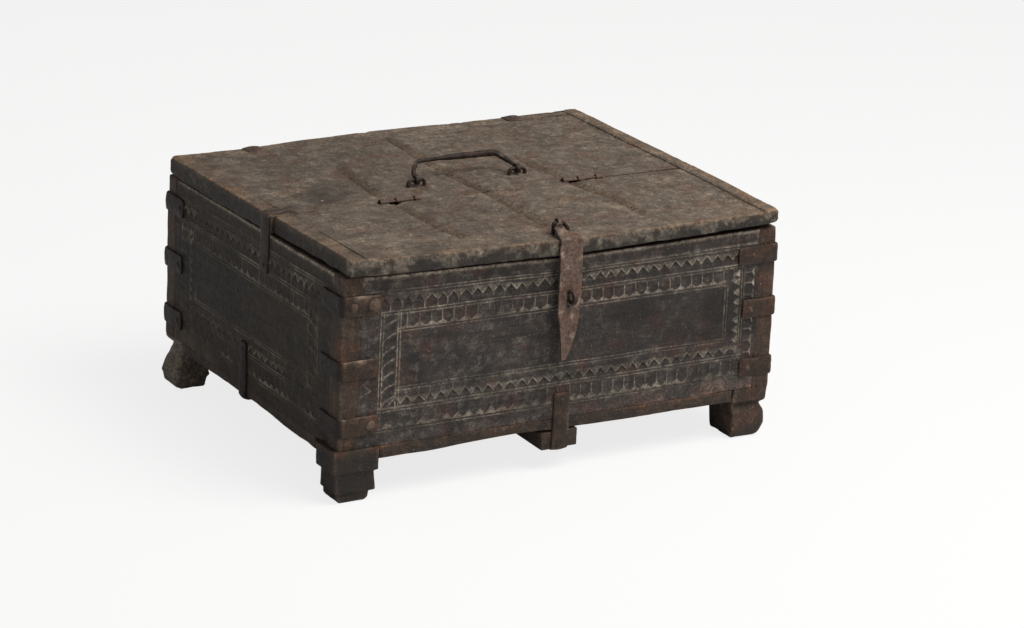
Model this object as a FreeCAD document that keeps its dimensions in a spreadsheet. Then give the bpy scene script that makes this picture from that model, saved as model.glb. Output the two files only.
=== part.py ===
# Small damchiya chest: a carved case on four feet, a top whose front part is a flap, iron straps, a hasp
# and a bail handle. Millimetres, +Z up, front towards -Y, origin on the floor under the middle of the whole.
import FreeCAD
import Part
import os
import re
import Sketcher
from FreeCAD import Placement, Rotation, Vector

SIZES = {
    # Case
    "case_width": 480, "case_depth": 388, "case_height": 169, "foot_height": 53, "front_y": -184.7,
    "board": 18, "post": 38, "post_face": 20, "bottom_board": 13, "runner_width": 40, "runner_height": 20,
    "notch_x": 43, "notch_y": 46, "margin": 20,
    # Top: the flap in front and the fixed part behind the joint
    "top": 20, "joint_y": 153, "joint_gap": 0.8, "flap_lip": 8, "flap_inset": 4, "right_inset": 2,
    "rest_gap": 0.3, "cleat": 17, "back_strip": 16, "rail_width": 26, "rail_height": 22, "groove": 9,
    "groove_depth": 2.2,
    "groove_left_x": 122, "groove_middle_x": 229, "groove_right_x": 329,
    "flap_groove_front": 22, "rear_groove_back_left": 136, "rear_groove_back_middle": 222,
    "rear_groove_back_right": 94,
    # Straps and nails
    "strap": 2, "strap_width": 19, "strap_leg": 40, "strap_low_z": 13, "strap_mid_z": 73, "strap_high_z": 132,
    "bottom_strap_width": 19, "bottom_strap_rise": 26, "side_strap_width": 14, "side_strap_rise": 47,
    "strap_turn": 22, "edge_strap_width": 17.5, "edge_strap_drop": 60, "edge_strap_turn": 30,
    "edge_strap_y": 155.5,
    "back_strap_width": 21, "back_strap_drop": 40, "back_strap_turn": 30, "back_strap_left_x": 80,
    "back_strap_right_x": 384, "nail_head": 3.6, "nail_dome": 1.5, "nail_shank": 1.3, "nail_length": 14,
    "nail_inset": 8, "side_strap_y": 196,
    # Hinges
    "hinge_left_x": 138, "hinge_right_x": 345, "hinge_pin": 2, "hinge_pin_length": 46, "hinge_eye": 4.4,
    "fixed_eye_width": 6, "flap_eye_width": 9, "running_gap": 0.05, "hinge_notch": 5, "spike": 1.6,
    "spike_length": 20, "pin_end": 1,
    # Hasp, its loop staple and the lock staple
    "hasp_x": 238.5, "hasp_pivot_y": 12, "hasp_pivot_rise": 6, "hasp_plate": 2.7, "hasp_width": 25,
    "hasp_neck": 9, "hasp_eye": 5, "hasp_eye_width": 6, "hasp_shoulder_z": 110, "hasp_tip": 6,
    "hasp_tip_z": 63, "hasp_tip_shift": 4.5, "slot_width": 5.4, "slot_rise": 9, "slot_fall": 23,
    "hasp_gap": 0.3, "hasp_heel": 4.7, "hasp_eye_reach": 6,
    "lock_clearance": 0.2, "lock_z": 127, "lock_hole": 3.5, "lock_ring": 7.5, "lock_width": 4.4,
    "lock_shank": 2.1, "lock_depth": 15, "staple_wire": 2, "staple_span": 9, "staple_depth": 14,
    # Bail handle
    "handle_x": 236, "handle_y": 193, "handle_span": 115, "handle_rise": 6, "handle_eye": 5,
    "handle_eye_width": 6, "handle_leg": 26, "handle_narrowing": 12, "handle_wire": 2.6, "handle_grip": 3.4,
    "handle_grip_length": 58, "handle_grip_shift": 8, "handle_ear": 4, "handle_lean": 63,
}

# Foot outlines from the floor up: height, how far the foot stands proud of the case's face, and its width
STEPPED_FOOT_X = [
    (0, -4, 25), (4, -0.5, 31), (12, -0.5, 32), (12, 2.5, 41),
    (31, 2.5, 39), (31, 3.5, 46), (53, 3.5, 46),
]
STEPPED_FOOT_Y = [
    (0, -2, 26), (4, 0, 30), (12, 0, 30), (12, 1.5, 32),
    (31, 1.5, 31), (31, 2.5, 36), (53, 2.5, 38),
]
BULB_FOOT_X = [
    (0, -12, 22), (4, -8, 27), (15, -4, 31), (26, -4.5, 30),
    (36, -10, 24), (39, -3, 34), (53, -2, 37),
]
BULB_FOOT_Y = [
    (0, -6, 34), (4, -3, 40), (15, 0, 45), (26, 0, 45),
    (36, -5, 38), (39, -1, 44), (53, 0, 45),
]
BELL_FOOT_X = [
    (0, -3, 28), (3, 1, 31), (10, 1, 32), (12, 3.5, 39),
    (29, 0, 32), (45, -5.6, 25), (49, 0, 38), (53, 0, 38),
]
BELL_FOOT_Y = [
    (0, -4, 29), (3, 0, 32), (10, 0, 33), (12, 3.6, 38),
    (29, 0, 32), (45, -5.6, 26), (49, 0, 38), (53, 0, 38),
]

doc = FreeCAD.newDocument("damchiya_chest")
sheet = doc.addObject("Spreadsheet::Sheet", "Sizes")
for row, (alias, value) in enumerate(SIZES.items(), start=1):
    sheet.set("A%d" % row, alias)
    sheet.set("B%d" % row, str(value))
    sheet.setAlias("B%d" % row, alias)
doc.recompute()

# Places that many pieces share, as formulas of the sheet's cells
LEFT = "(0 - case_width / 2)"
FRONT = "front_y"
BACK = "(front_y + case_depth)"
RIM = "(foot_height + case_height)"
TOP = "(foot_height + case_height + top)"
JOINT = "(front_y + joint_y)"
FLAP_LEFT = "(flap_inset - case_width / 2)"
TOP_RIGHT = "(case_width / 2 - right_inset)"
HASP_X = "(hasp_x - case_width / 2)"
HASP_Y = "(front_y - flap_lip - hasp_gap)"
HANDLE_Y = "(front_y + handle_y)"

parts = []


def formula(text):
    """Turns plain cell names into references to the sheet."""
    return re.sub(r"[a-z][a-z_]*", lambda found: "Sizes." + found.group(0), str(text))


def bind(obj, **formulas):
    """Binds each property to its formula."""
    for name, text in formulas.items():
        obj.setExpression(name, formula(text))


def move(obj, x, y, z):
    """Binds the object's place to three formulas."""
    for axis, text in zip("xyz", (x, y, z)):
        obj.setExpression(".Placement.Base." + axis, formula(text))


def turn(obj, axis, angle):
    """Turns the object about an axis through its own origin."""
    obj.Placement = Placement(obj.Placement.Base, Rotation(Vector(*axis), angle))


def keep(obj, label):
    """Makes the object a sub-part under the name of its file."""
    obj.Label = label
    parts.append(obj)
    return obj


def box(name, place, size):
    """A rectangular block bound to the sheet."""
    block = doc.addObject("Part::Box", name)
    bind(block, Length=size[0], Width=size[1], Height=size[2])
    move(block, *place)
    return block


def rod(name, radius, length, place, axis="z"):
    """A round bar along one axis, from its place towards plus."""
    bar = doc.addObject("Part::Cylinder", name)
    bind(bar, Radius=radius, Height=length)
    if axis == "x":
        turn(bar, (0, 1, 0), 90)
    if axis == "y":
        turn(bar, (1, 0, 0), -90)
    move(bar, *place)
    return bar


def cut(name, base, *tools):
    """Takes the tools away from the base, one after another."""
    for number, tool in enumerate(tools, start=1):
        result = doc.addObject("Part::Cut", "%s_cut_%d" % (name, number))
        result.Base = base
        result.Tool = tool
        base = result
    return base


def fuse(name, *pieces):
    """Joins touching pieces into one solid."""
    result = doc.addObject("Part::MultiFuse", name + "_joined")
    result.Shapes = list(pieces)
    result.Refine = True
    return result


def group(name, *pieces):
    """Keeps separate solids together as one object."""
    result = doc.addObject("Part::Compound", name + "_group")
    result.Links = list(pieces)
    return result


def evaluate(text):
    """The value of a formula of the sheet's cells."""
    total = sheet.evalExpression(formula(text)) if re.search("[a-z]", str(text)) else float(text)
    return float(getattr(total, "Value", total))


def outline(sketch, points):
    """Draws a closed outline whose corners are bound to formulas; all of them lie at plus x and y."""
    values = [(evaluate(x), evaluate(y)) for x, y in points]
    count = len(points)
    for index in range(count):
        start = Vector(values[index][0], values[index][1], 0)
        end = Vector(values[(index + 1) % count][0], values[(index + 1) % count][1], 0)
        sketch.addGeometry(Part.LineSegment(start, end), False)
    for index in range(count):
        sketch.addConstraint(Sketcher.Constraint("Coincident", index, 2, (index + 1) % count, 1))
    for index, corner in enumerate(points):
        for kind, place, text in zip(("DistanceX", "DistanceY"), values[index], corner):
            number = sketch.addConstraint(Sketcher.Constraint(kind, -1, 1, index, 1, place))
            sketch.setExpression("Constraints[%d]" % number, formula(text))


def plate(name, points, thickness, plane="XZ_Plane"):
    """A body padded from an outline on one of its own planes; the body is moved into place afterwards."""
    body = doc.addObject("PartDesign::Body", name)
    sketch = body.newObject("Sketcher::SketchObject", name + "_outline")
    support = [part for part in body.Origin.OriginFeatures if part.Role == plane][0]
    sketch.AttachmentSupport = [(support, "")]
    sketch.MapMode = "FlatFace"
    outline(sketch, points)
    pad = body.newObject("PartDesign::Pad", name + "_pad")
    pad.Profile = sketch
    bind(pad, Length=thickness)
    body.Tip = pad
    sketch.Visibility = False
    return body


# Posts with their carved feet. Each is the part that two band-sawn outlines have in common,
# rebated above the foot for the boards of the case.
def foot_profile(steps, height):
    """Corners of a post's outline seen from one side: outer edge up and inner edge down."""
    outer = [("margin - (%s)" % proud, z) for z, proud, width in steps]
    inner = [("margin + %s - (%s)" % (width, proud), z) for z, proud, width in steps]
    shaft = [("margin", height), ("margin + post", height)]
    top_z, top_proud, top_width = steps[-1]
    if top_proud != 0:
        outer.append(("margin", top_z))
    if top_width - top_proud != SIZES["post"]:
        inner.append(("margin + post", top_z))
    return outer + shaft + inner[::-1]


def post(name, steps_x, steps_y, at_right, at_back):
    """One corner post; the outlines are drawn for the front left corner and turned for the others."""
    swapped = at_right != at_back
    along_x, along_y = (steps_y, steps_x) if swapped else (steps_x, steps_y)
    wide = plate(name + "_front_view", foot_profile(along_x, RIM), "2 * post + 2 * margin")
    deep = plate(name + "_side_view", foot_profile(along_y, RIM), "2 * post + 2 * margin", "YZ_Plane")
    move(wide, "0 - margin", "2 * post + margin", "0")
    move(deep, "0 - margin", "0 - margin", "0")
    common = doc.addObject("Part::MultiCommon", name + "_common")
    common.Shapes = [wide, deep]
    rebate_front = box(name + "_front_rebate", ("post_face", "0", "foot_height"), ("post", "board", RIM))
    rebate_side = box(name + "_side_rebate", ("0", "post_face", "foot_height"), ("board", "post", RIM))
    result = cut(name, common, rebate_front, rebate_side)
    angle = {(False, False): 0, (True, False): 90, (True, True): 180, (False, True): 270}[(at_right, at_back)]
    turn(result, (0, 0, 1), angle)
    move(result, "case_width / 2" if at_right else LEFT, BACK if at_back else FRONT, "0")
    keep(result, name)


post("post_front_left", STEPPED_FOOT_X, STEPPED_FOOT_Y, False, False)
post("post_front_right", BULB_FOOT_X, BULB_FOOT_Y, True, False)
post("post_back_left", BELL_FOOT_X, BELL_FOOT_Y, False, True)
post("post_back_right", BULB_FOOT_X, BULB_FOOT_Y, True, True)

# Boards of the case
LONG = "(case_width - 2 * post_face)"
SHORT = "(case_depth - 2 * post_face)"
keep(box("front", (LEFT + " + post_face", FRONT, "foot_height"), (LONG, "board", "case_height")), "front_board")
keep(box("back", (LEFT + " + post_face", BACK + " - board", "foot_height"), (LONG, "board", "case_height")),
     "back_board")
keep(box("left", (LEFT, FRONT + " + post_face", "foot_height"), ("board", SHORT, "case_height")), "left_board")
keep(box("right", ("case_width / 2 - board", FRONT + " + post_face", "foot_height"),
         ("board", SHORT, "case_height")), "right_board")

# Bottom board, notched round the four posts, whose foot blocks are wider than the posts
FAR_X = "case_width - notch_x"
FAR_Y = "case_depth - notch_y"
bottom_corners = [
    ("notch_x", "0"), (FAR_X, "0"), (FAR_X, "notch_y"), ("case_width", "notch_y"), ("case_width", FAR_Y),
    (FAR_X, FAR_Y), (FAR_X, "case_depth"), ("notch_x", "case_depth"), ("notch_x", FAR_Y), ("0", FAR_Y),
    ("0", "notch_y"), ("notch_x", "notch_y"),
]
bottom = plate("bottom", bottom_corners, "bottom_board", "XY_Plane")
move(bottom, LEFT, FRONT, "foot_height - bottom_board")
keep(bottom, "bottom_board")
keep(box("runner", ("0 - runner_width / 2", FRONT, "foot_height - bottom_board - runner_height"),
         ("runner_width", "case_depth", "runner_height")), "centre_runner")
keep(box("rail", (LEFT + " + board", JOINT + " - rail_width / 2", RIM + " - rail_height"),
         ("case_width - 2 * board", "rail_width", "rail_height")), "cross_rail")


# The top: a fixed rear part and a flap, each a grooved board between end cleats
def grooves(name, front, lengths):
    """Stopped grooves that run from front to back."""
    cutters = []
    for number, (x, length) in enumerate(lengths, start=1):
        place = (LEFT + " + " + x + " - groove / 2", front, TOP + " - groove_depth")
        cutters.append(box("%s_groove_%d" % (name, number), place, ("groove", length, "top")))
    return cutters


def hinge_notches(name):
    """Notches round both hinges, sunk in the top beside the joint."""
    cutters = []
    for side in ("left", "right"):
        place = (LEFT + " + hinge_%s_x - hinge_pin_length / 2 - pin_end" % side, JOINT + " - hinge_notch",
                 TOP + " - hinge_notch")
        size = ("hinge_pin_length + 2 * pin_end", "2 * hinge_notch", "2 * hinge_notch")
        cutters.append(box("%s_notch_%s" % (name, side), place, size))
    return cutters


REAR_FRONT = "(" + JOINT + " + joint_gap / 2)"
REAR_DEPTH = "(case_depth - joint_y - joint_gap / 2)"
rear_blank = box("rear_blank", (LEFT + " + cleat", REAR_FRONT, RIM),
                 ("case_width - right_inset - 2 * cleat", REAR_DEPTH + " - back_strip", "top"))
rear_grooves = grooves("rear", REAR_FRONT, [("groove_left_x + 4", "rear_groove_back_left"),
                                             ("groove_middle_x", "rear_groove_back_middle - back_strip"),
                                             ("groove_right_x - 2", "rear_groove_back_right")])
keep(cut("rear_top", rear_blank, *rear_grooves, *hinge_notches("rear")), "rear_top")
keep(box("rear_left", (LEFT, REAR_FRONT, RIM), ("cleat", REAR_DEPTH, "top")), "rear_left_cleat")
keep(box("rear_right", (TOP_RIGHT + " - cleat", REAR_FRONT, RIM), ("cleat", REAR_DEPTH, "top")),
     "rear_right_cleat")
keep(box("rear_strip", (LEFT + " + cleat", BACK + " - back_strip", RIM),
         ("case_width - right_inset - 2 * cleat", "back_strip", "top")), "rear_back_strip")

FLAP_DEPTH = "(joint_y + flap_lip - joint_gap / 2)"
FLAP_FRONT = "(front_y - flap_lip)"
flap_blank = box("flap_blank", (FLAP_LEFT + " + cleat", FLAP_FRONT, RIM + " + rest_gap"),
                 ("case_width - flap_inset - right_inset - 2 * cleat", FLAP_DEPTH, "top - rest_gap"))
flap_length = "joint_y - flap_groove_front"
flap_grooves = grooves("flap", FRONT + " + flap_groove_front",
                       [("groove_left_x", flap_length), ("groove_middle_x + 4", flap_length),
                        ("groove_right_x + 5", flap_length)])
keep(cut("flap_board", flap_blank, *flap_grooves, *hinge_notches("flap")), "flap_board")
for side, x in (("left", FLAP_LEFT), ("right", TOP_RIGHT + " - cleat")):
    keep(box("flap_" + side, (x, FLAP_FRONT, RIM + " + rest_gap"), ("cleat", FLAP_DEPTH, "top - rest_gap")),
         "flap_%s_cleat" % side)


# Iron straps, each bent once
def bent_strap(name, leg_a, leg_b, width, plane="XY_Plane"):
    """A strap whose inner faces lie at the margin on both axes of its outline."""
    far_a = "margin + " + leg_a
    far_b = "margin + " + leg_b
    skin = "margin - strap"
    corners = [(skin, skin), (far_a, skin), (far_a, "margin"),
               ("margin", "margin"), ("margin", far_b), (skin, far_b)]
    return plate(name, corners, width, plane)


CORNERS = {"front_left": (0, LEFT, FRONT), "front_right": (90, "case_width / 2", FRONT),
           "back_right": (180, "case_width / 2", BACK), "back_left": (270, LEFT, BACK)}
SHIFTS = {0: (" - margin", " - margin"), 90: (" + margin", " - margin"), 180: (" + margin", " + margin"),
          270: (" - margin", " + margin")}
for corner, (angle, x, y) in CORNERS.items():
    for level in ("low", "mid", "high"):
        label = "corner_strap_%s_%s" % (corner, level)
        strap = bent_strap(label + "_body", "strap_leg", "strap_leg", "strap_width")
        turn(strap, (0, 0, 1), angle)
        move(strap, x + SHIFTS[angle][0], y + SHIFTS[angle][1], "foot_height + strap_%s_z" % level)
        keep(strap, label)

# Straps that come down the middle of each side and turn under the bottom
UNDER = "(foot_height - bottom_board)"
UNDER_RUNNER = "(foot_height - bottom_board - runner_height)"
front_rise = "(bottom_strap_rise + bottom_board + runner_height)"
side_rise = "(side_strap_rise + bottom_board)"
strap = bent_strap("front_bottom", "strap_turn", front_rise, "bottom_strap_width", "YZ_Plane")
move(strap, "0 - bottom_strap_width / 2", FRONT + " - margin", UNDER_RUNNER + " - margin")
keep(strap, "bottom_strap_front")
strap = bent_strap("back_bottom", "strap_turn", front_rise, "bottom_strap_width", "YZ_Plane")
turn(strap, (0, 0, 1), 180)
move(strap, "bottom_strap_width / 2", BACK + " + margin", UNDER_RUNNER + " - margin")
keep(strap, "bottom_strap_back")
strap = bent_strap("left_bottom", "strap_turn", side_rise, "side_strap_width", "XZ_Plane")
move(strap, LEFT + " - margin", FRONT + " + side_strap_y + side_strap_width", UNDER + " - margin")
keep(strap, "bottom_strap_left")
strap = bent_strap("right_bottom", "strap_turn", side_rise, "side_strap_width", "XZ_Plane")
turn(strap, (0, 0, 1), 180)
move(strap, "case_width / 2 + margin", FRONT + " + side_strap_y", UNDER + " - margin")
keep(strap, "bottom_strap_right")


# Straps bent over the edges of the fixed top
def edge_strap(label, drop, turn_in, width, yaw, x, y):
    """A strap that lies on the top and comes down outside; the outline is turned upside down."""
    hook = bent_strap(label + "_body", turn_in, drop, width, "XZ_Plane")
    hook.Placement = Placement(Vector(), Rotation(Vector(0, 0, 1), yaw) * Rotation(Vector(1, 0, 0), 180))
    move(hook, x, y, TOP + " + margin")
    keep(hook, label)


edge_strap("edge_strap_left", "edge_strap_drop", "edge_strap_turn", "edge_strap_width", 0,
           LEFT + " - margin", FRONT + " + edge_strap_y")
for side in ("left", "right"):
    edge_strap("back_strap_" + side, "back_strap_drop", "back_strap_turn", "back_strap_width", 270,
               LEFT + " + back_strap_%s_x" % side, BACK + " + margin")


# Nails: domed heads on the straps, shanks in the wood behind them
def nail(name, x, y, z, heading):
    """A nail whose head faces -Y at heading 0, +X at 90, and so on; None is straight up."""
    dome = doc.addObject("Part::Sphere", name + "_dome")
    bind(dome, Radius="(nail_head ^ 2 + nail_dome ^ 2) / (2 * nail_dome)")
    sink = "((nail_head ^ 2 + nail_dome ^ 2) / (2 * nail_dome) - nail_dome)"
    bind(dome, **{"Placement.Base.z": "0 - " + sink})
    window = box(name + "_window", ("0 - 2 * nail_head", "0 - 2 * nail_head", "0"),
                 ("4 * nail_head", "4 * nail_head", "nail_head"))
    head = doc.addObject("Part::Common", name + "_head")
    head.Base = dome
    head.Tool = window
    shank = rod(name + "_shank", "nail_shank", "nail_length + nail_dome / 2", ("0", "0", "0 - nail_length"))
    whole = fuse(name, head, shank)
    facing = Rotation()
    if heading is not None:
        facing = Rotation(Vector(0, 0, 1), heading) * Rotation(Vector(1, 0, 0), 90)
    whole.Placement = Placement(Vector(), facing)
    move(whole, x, y, z)
    return whole


FRONT_SKIN = FRONT + " - strap"
BACK_SKIN = BACK + " + strap"
LEFT_SKIN = LEFT + " - strap"
RIGHT_SKIN = "case_width / 2 + strap"
NAIL_IN = " + strap_leg - nail_inset"
NAIL_OUT = " - strap_leg + nail_inset"
nails = []
for level in ("low", "mid", "high"):
    z = "foot_height + strap_%s_z + strap_width / 2" % level
    for side, x in (("left", LEFT + NAIL_IN), ("right", "case_width / 2" + NAIL_OUT)):
        nails.append(nail("nail_front_%s_%s" % (side, level), x, FRONT_SKIN, z, 0))
        nails.append(nail("nail_back_%s_%s" % (side, level), x, BACK_SKIN, z, 180))
    for end, y in (("front", FRONT + NAIL_IN), ("back", BACK + NAIL_OUT)):
        nails.append(nail("nail_left_%s_%s" % (end, level), LEFT_SKIN, y, z, 270))
        nails.append(nail("nail_right_%s_%s" % (end, level), RIGHT_SKIN, y, z, 90))
keep(group("corner_nails", *nails), "corner_strap_nails")

FRONT_NAIL_Z = "foot_height + bottom_strap_rise - nail_inset"
SIDE_NAIL_Z = "foot_height + side_strap_rise - nail_inset"
SIDE_NAIL_Y = FRONT + " + side_strap_y + side_strap_width / 2"
EDGE_NAIL_Z = TOP + " - edge_strap_drop + nail_inset"
EDGE_NAIL_Y = FRONT + " + edge_strap_y + edge_strap_width / 2"
nails = [
    nail("nail_bottom_front", "0", FRONT_SKIN, FRONT_NAIL_Z, 0),
    nail("nail_bottom_back", "0", BACK_SKIN, FRONT_NAIL_Z, 180),
    nail("nail_bottom_left", LEFT_SKIN, SIDE_NAIL_Y, SIDE_NAIL_Z, 270),
    nail("nail_bottom_right", RIGHT_SKIN, SIDE_NAIL_Y, SIDE_NAIL_Z, 90),
    nail("nail_edge_left", LEFT_SKIN, EDGE_NAIL_Y, EDGE_NAIL_Z, 270),
]
for side in ("left", "right"):
    x = LEFT + " + back_strap_%s_x + back_strap_width / 2" % side
    nails.append(nail("nail_top_" + side, x, BACK + " - back_strap_turn + nail_inset", TOP + " + strap", None))
    nails.append(nail("nail_drop_" + side, x, BACK_SKIN, TOP + " - back_strap_drop + nail_inset", 180))
keep(group("strap_nails", *nails), "middle_strap_nails")


# Hinges: a pin along the joint through two eyes of the fixed top and one eye of the flap
def eye(name, x, width, bore, heading):
    """A ring about the hinge line with a spike that slants down into the wood."""
    ring = rod(name + "_ring", "hinge_eye", width, (x + " - (" + width + ") / 2", JOINT, TOP), "x")
    spike = doc.addObject("Part::Cone", name + "_spike")
    bind(spike, Radius1="spike", Radius2="spike / 3", Height="spike_length")
    spike.Placement = Placement(Vector(), Rotation(Vector(1, 0, 0), heading))
    move(spike, x, JOINT, TOP)
    hole = rod(name + "_bore", bore, width + " + 2", (x + " - (" + width + ") / 2 - 1", JOINT, TOP), "x")
    return cut(name, fuse(name, ring, spike), hole)


# Angles about X that a spike is turned by, from straight up
TOWARDS_BACK = 225
TOWARDS_FRONT = 135
for side in ("left", "right"):
    centre = "(" + LEFT + " + hinge_%s_x)" % side
    reach = "(hinge_pin_length / 2 - fixed_eye_width / 2 - pin_end)"
    eyes = [eye("hinge_%s_eye_a" % side, centre + " - " + reach, "fixed_eye_width", "hinge_pin", TOWARDS_BACK),
            eye("hinge_%s_eye_b" % side, centre + " + " + reach, "fixed_eye_width", "hinge_pin", TOWARDS_BACK)]
    keep(group("hinge_eyes_" + side, *eyes), "hinge_fixed_eyes_" + side)
    keep(rod("hinge_rod_" + side, "hinge_pin", "hinge_pin_length",
             (centre + " - hinge_pin_length / 2", JOINT, TOP), "x"), "hinge_pin_" + side)
    keep(eye("hinge_flap_eye_" + side, centre, "flap_eye_width", "hinge_pin + running_gap", TOWARDS_FRONT),
         "hinge_flap_eye_" + side)


# Loop staples: two legs in the wood and a crown bar along X, which carries an eye
def loop_staple(name, x, y, rise):
    """A staple standing in the top, its crown at the given height above it."""
    crown_z = TOP + " + " + rise
    legs = [rod("%s_leg_%s" % (name, end), "staple_wire", rise + " + staple_depth",
                (x + sign + "staple_span", y, TOP + " - staple_depth"))
            for end, sign in (("a", " - "), ("b", " + "))]
    crown = rod(name + "_crown", "staple_wire", "2 * staple_span", (x + " - staple_span", y, crown_z), "x")
    knuckles = []
    for end, sign in (("a", " - "), ("b", " + ")):
        knuckle = doc.addObject("Part::Sphere", "%s_knuckle_%s" % (name, end))
        bind(knuckle, Radius="staple_wire")
        move(knuckle, x + sign + "staple_span", y, crown_z)
        knuckles.append(knuckle)
    return fuse(name, crown, *legs, *knuckles)


HANDLE_X = "(handle_x - case_width / 2)"
HANDLE_Z = "(" + TOP + " + handle_rise)"
HASP_PIVOT_Y = "(front_y + hasp_pivot_y)"
HASP_PIVOT_Z = "(" + TOP + " + hasp_pivot_rise)"
keep(loop_staple("staple_handle_left", HANDLE_X + " - handle_span / 2", HANDLE_Y, "handle_rise"),
     "handle_staple_left")
keep(loop_staple("staple_handle_right", HANDLE_X + " + handle_span / 2", HANDLE_Y, "handle_rise"),
     "handle_staple_right")
keep(loop_staple("staple_hasp", HASP_X, HASP_PIVOT_Y, "hasp_pivot_rise"), "hasp_staple")

# Hasp: a tapering plate in front of the case, a neck over the flap, and an eye on its staple
HALF = "hasp_width / 2"
hasp_face = plate("hasp_face", [
    ("margin + " + HALF + " - hasp_tip_shift - hasp_tip / 2", "hasp_tip_z"),
    ("margin + " + HALF + " - hasp_tip_shift + hasp_tip / 2", "hasp_tip_z"),
    ("margin + hasp_width", "hasp_shoulder_z"),
    ("margin + hasp_width", "case_height + top + hasp_gap + hasp_plate"),
    ("margin", "case_height + top + hasp_gap + hasp_plate"),
    ("margin", "hasp_shoulder_z"),
], "hasp_plate")
move(hasp_face, HASP_X + " - margin - " + HALF, HASP_Y, "foot_height")
NECK_END = "hasp_pivot_y + flap_lip + hasp_gap"
hasp_neck = plate("hasp_neck", [
    ("margin", "0"), ("margin + hasp_width", "0"), ("margin + hasp_width", "hasp_heel"),
    ("margin + " + HALF + " + hasp_neck / 2", NECK_END + " - hasp_eye_reach"),
    ("margin + " + HALF + " + hasp_eye_width / 2", NECK_END),
    ("margin + " + HALF + " - hasp_eye_width / 2", NECK_END),
    ("margin + " + HALF + " - hasp_neck / 2", NECK_END + " - hasp_eye_reach"),
    ("margin", "hasp_heel"),
], "hasp_plate", "XY_Plane")
move(hasp_neck, HASP_X + " - margin - " + HALF, HASP_Y, TOP + " + hasp_gap")
hasp_ring = rod("hasp_ring", "hasp_eye", "hasp_eye_width",
                (HASP_X + " - hasp_eye_width / 2", HASP_PIVOT_Y, HASP_PIVOT_Z), "x")
hasp_bore = rod("hasp_bore", "staple_wire + running_gap", "hasp_width",
                (HASP_X + " - " + HALF, HASP_PIVOT_Y, HASP_PIVOT_Z), "x")
hasp_slot = box("hasp_slot", (HASP_X + " - slot_width / 2", HASP_Y + " - 2 * hasp_plate",
                              "foot_height + lock_z - slot_fall"),
                ("slot_width", "3 * hasp_plate", "slot_rise + slot_fall"))
keep(cut("hasp", fuse("hasp", hasp_face, hasp_neck, hasp_ring), hasp_bore, hasp_slot), "hasp")

# Lock staple: a ring in front of the hasp for a padlock, on a shank through the front board
LOCK_Y = "(front_y - flap_lip - hasp_gap - hasp_plate - lock_clearance - lock_hole)"
LOCK_Z = "(foot_height + lock_z)"
lock_ring = rod("lock_ring_blank", "lock_ring", "lock_width",
                (HASP_X + " - lock_width / 2", LOCK_Y, LOCK_Z), "x")
lock_shank = rod("lock_shank_rod", "lock_shank", "lock_depth + front_y - " + LOCK_Y,
                 (HASP_X, LOCK_Y, LOCK_Z), "y")
lock_hole = rod("lock_hole_drill", "lock_hole", "2 * lock_width",
                (HASP_X + " - lock_width", LOCK_Y, LOCK_Z), "x")
keep(cut("lock", fuse("lock", lock_ring, lock_shank), lock_hole), "lock_staple")


# Bail handle, drawn upright about its pivot line and then leant back
def bail_bar(name, start, end, radius):
    """A round bar between two points of the upright handle, with a ball at its far end."""
    a, b = (Vector(*[evaluate(text) for text in point]) for point in (start, end))
    bar = doc.addObject("Part::Cylinder", name)
    bind(bar, Radius=radius)
    bar.Height = (b - a).Length
    bar.Placement = Placement(a, Rotation(Vector(0, 0, 1), b - a))
    ball = doc.addObject("Part::Sphere", name + "_end")
    bind(ball, Radius=radius)
    ball.Placement = Placement(b, Rotation())
    return [bar, ball]


NARROW = "(handle_span / 2 - handle_narrowing)"
ears = [("0 - handle_span / 2", "0", "handle_ear"), ("handle_span / 2", "0", "handle_ear")]
ends = [("0 - " + NARROW, "0", "handle_leg"), (NARROW, "0", "handle_leg")]
bail_pieces = bail_bar("bail_leg_left", ears[0], ends[0], "handle_wire")
bail_pieces += bail_bar("bail_leg_right", ears[1], ends[1], "handle_wire")
bail_pieces += bail_bar("bail_grip", ends[0], ends[1], "handle_wire")[:1]
bail_pieces.append(rod("bail_swelling", "handle_grip", "handle_grip_length",
                       ("handle_grip_shift - handle_grip_length / 2", "0", "handle_leg"), "x"))
bores = []
for side, x in (("left", "0 - handle_span / 2"), ("right", "handle_span / 2")):
    bail_pieces.append(rod("bail_eye_" + side, "handle_eye", "handle_eye_width",
                           (x + " - handle_eye_width / 2", "0", "0"), "x"))
    bores.append(rod("bail_bore_" + side, "staple_wire + running_gap", "2 * handle_eye_width",
                     (x + " - handle_eye_width", "0", "0"), "x"))
bail = cut("bail", fuse("bail", *bail_pieces), *bores)
turn(bail, (1, 0, 0), -SIZES["handle_lean"])
move(bail, HANDLE_X, HANDLE_Y, HANDLE_Z)
keep(bail, "bail_handle")

doc.recompute()
faults = [obj.Name for obj in doc.Objects if "Invalid" in obj.State or "Error" in obj.State]
for part in parts:
    if part.Shape.isNull() or not part.Shape.isValid():
        faults.append(part.Label)
if faults:
    raise RuntimeError("not built: " + ", ".join(faults))

os.makedirs("parts", exist_ok=True)
whole = FreeCAD.BoundBox()
for part in parts:
    part.Shape.exportStep("parts/" + part.Label + ".step")
    whole.add(part.Shape.BoundBox)
print("%d sub-parts, size %.2f x %.2f x %.2f" % (len(parts), whole.XLength, whole.YLength, whole.ZLength))
print("middle x %.3f y %.3f, floor %.3f" % (whole.Center.x, whole.Center.y, whole.ZMin))
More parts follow.
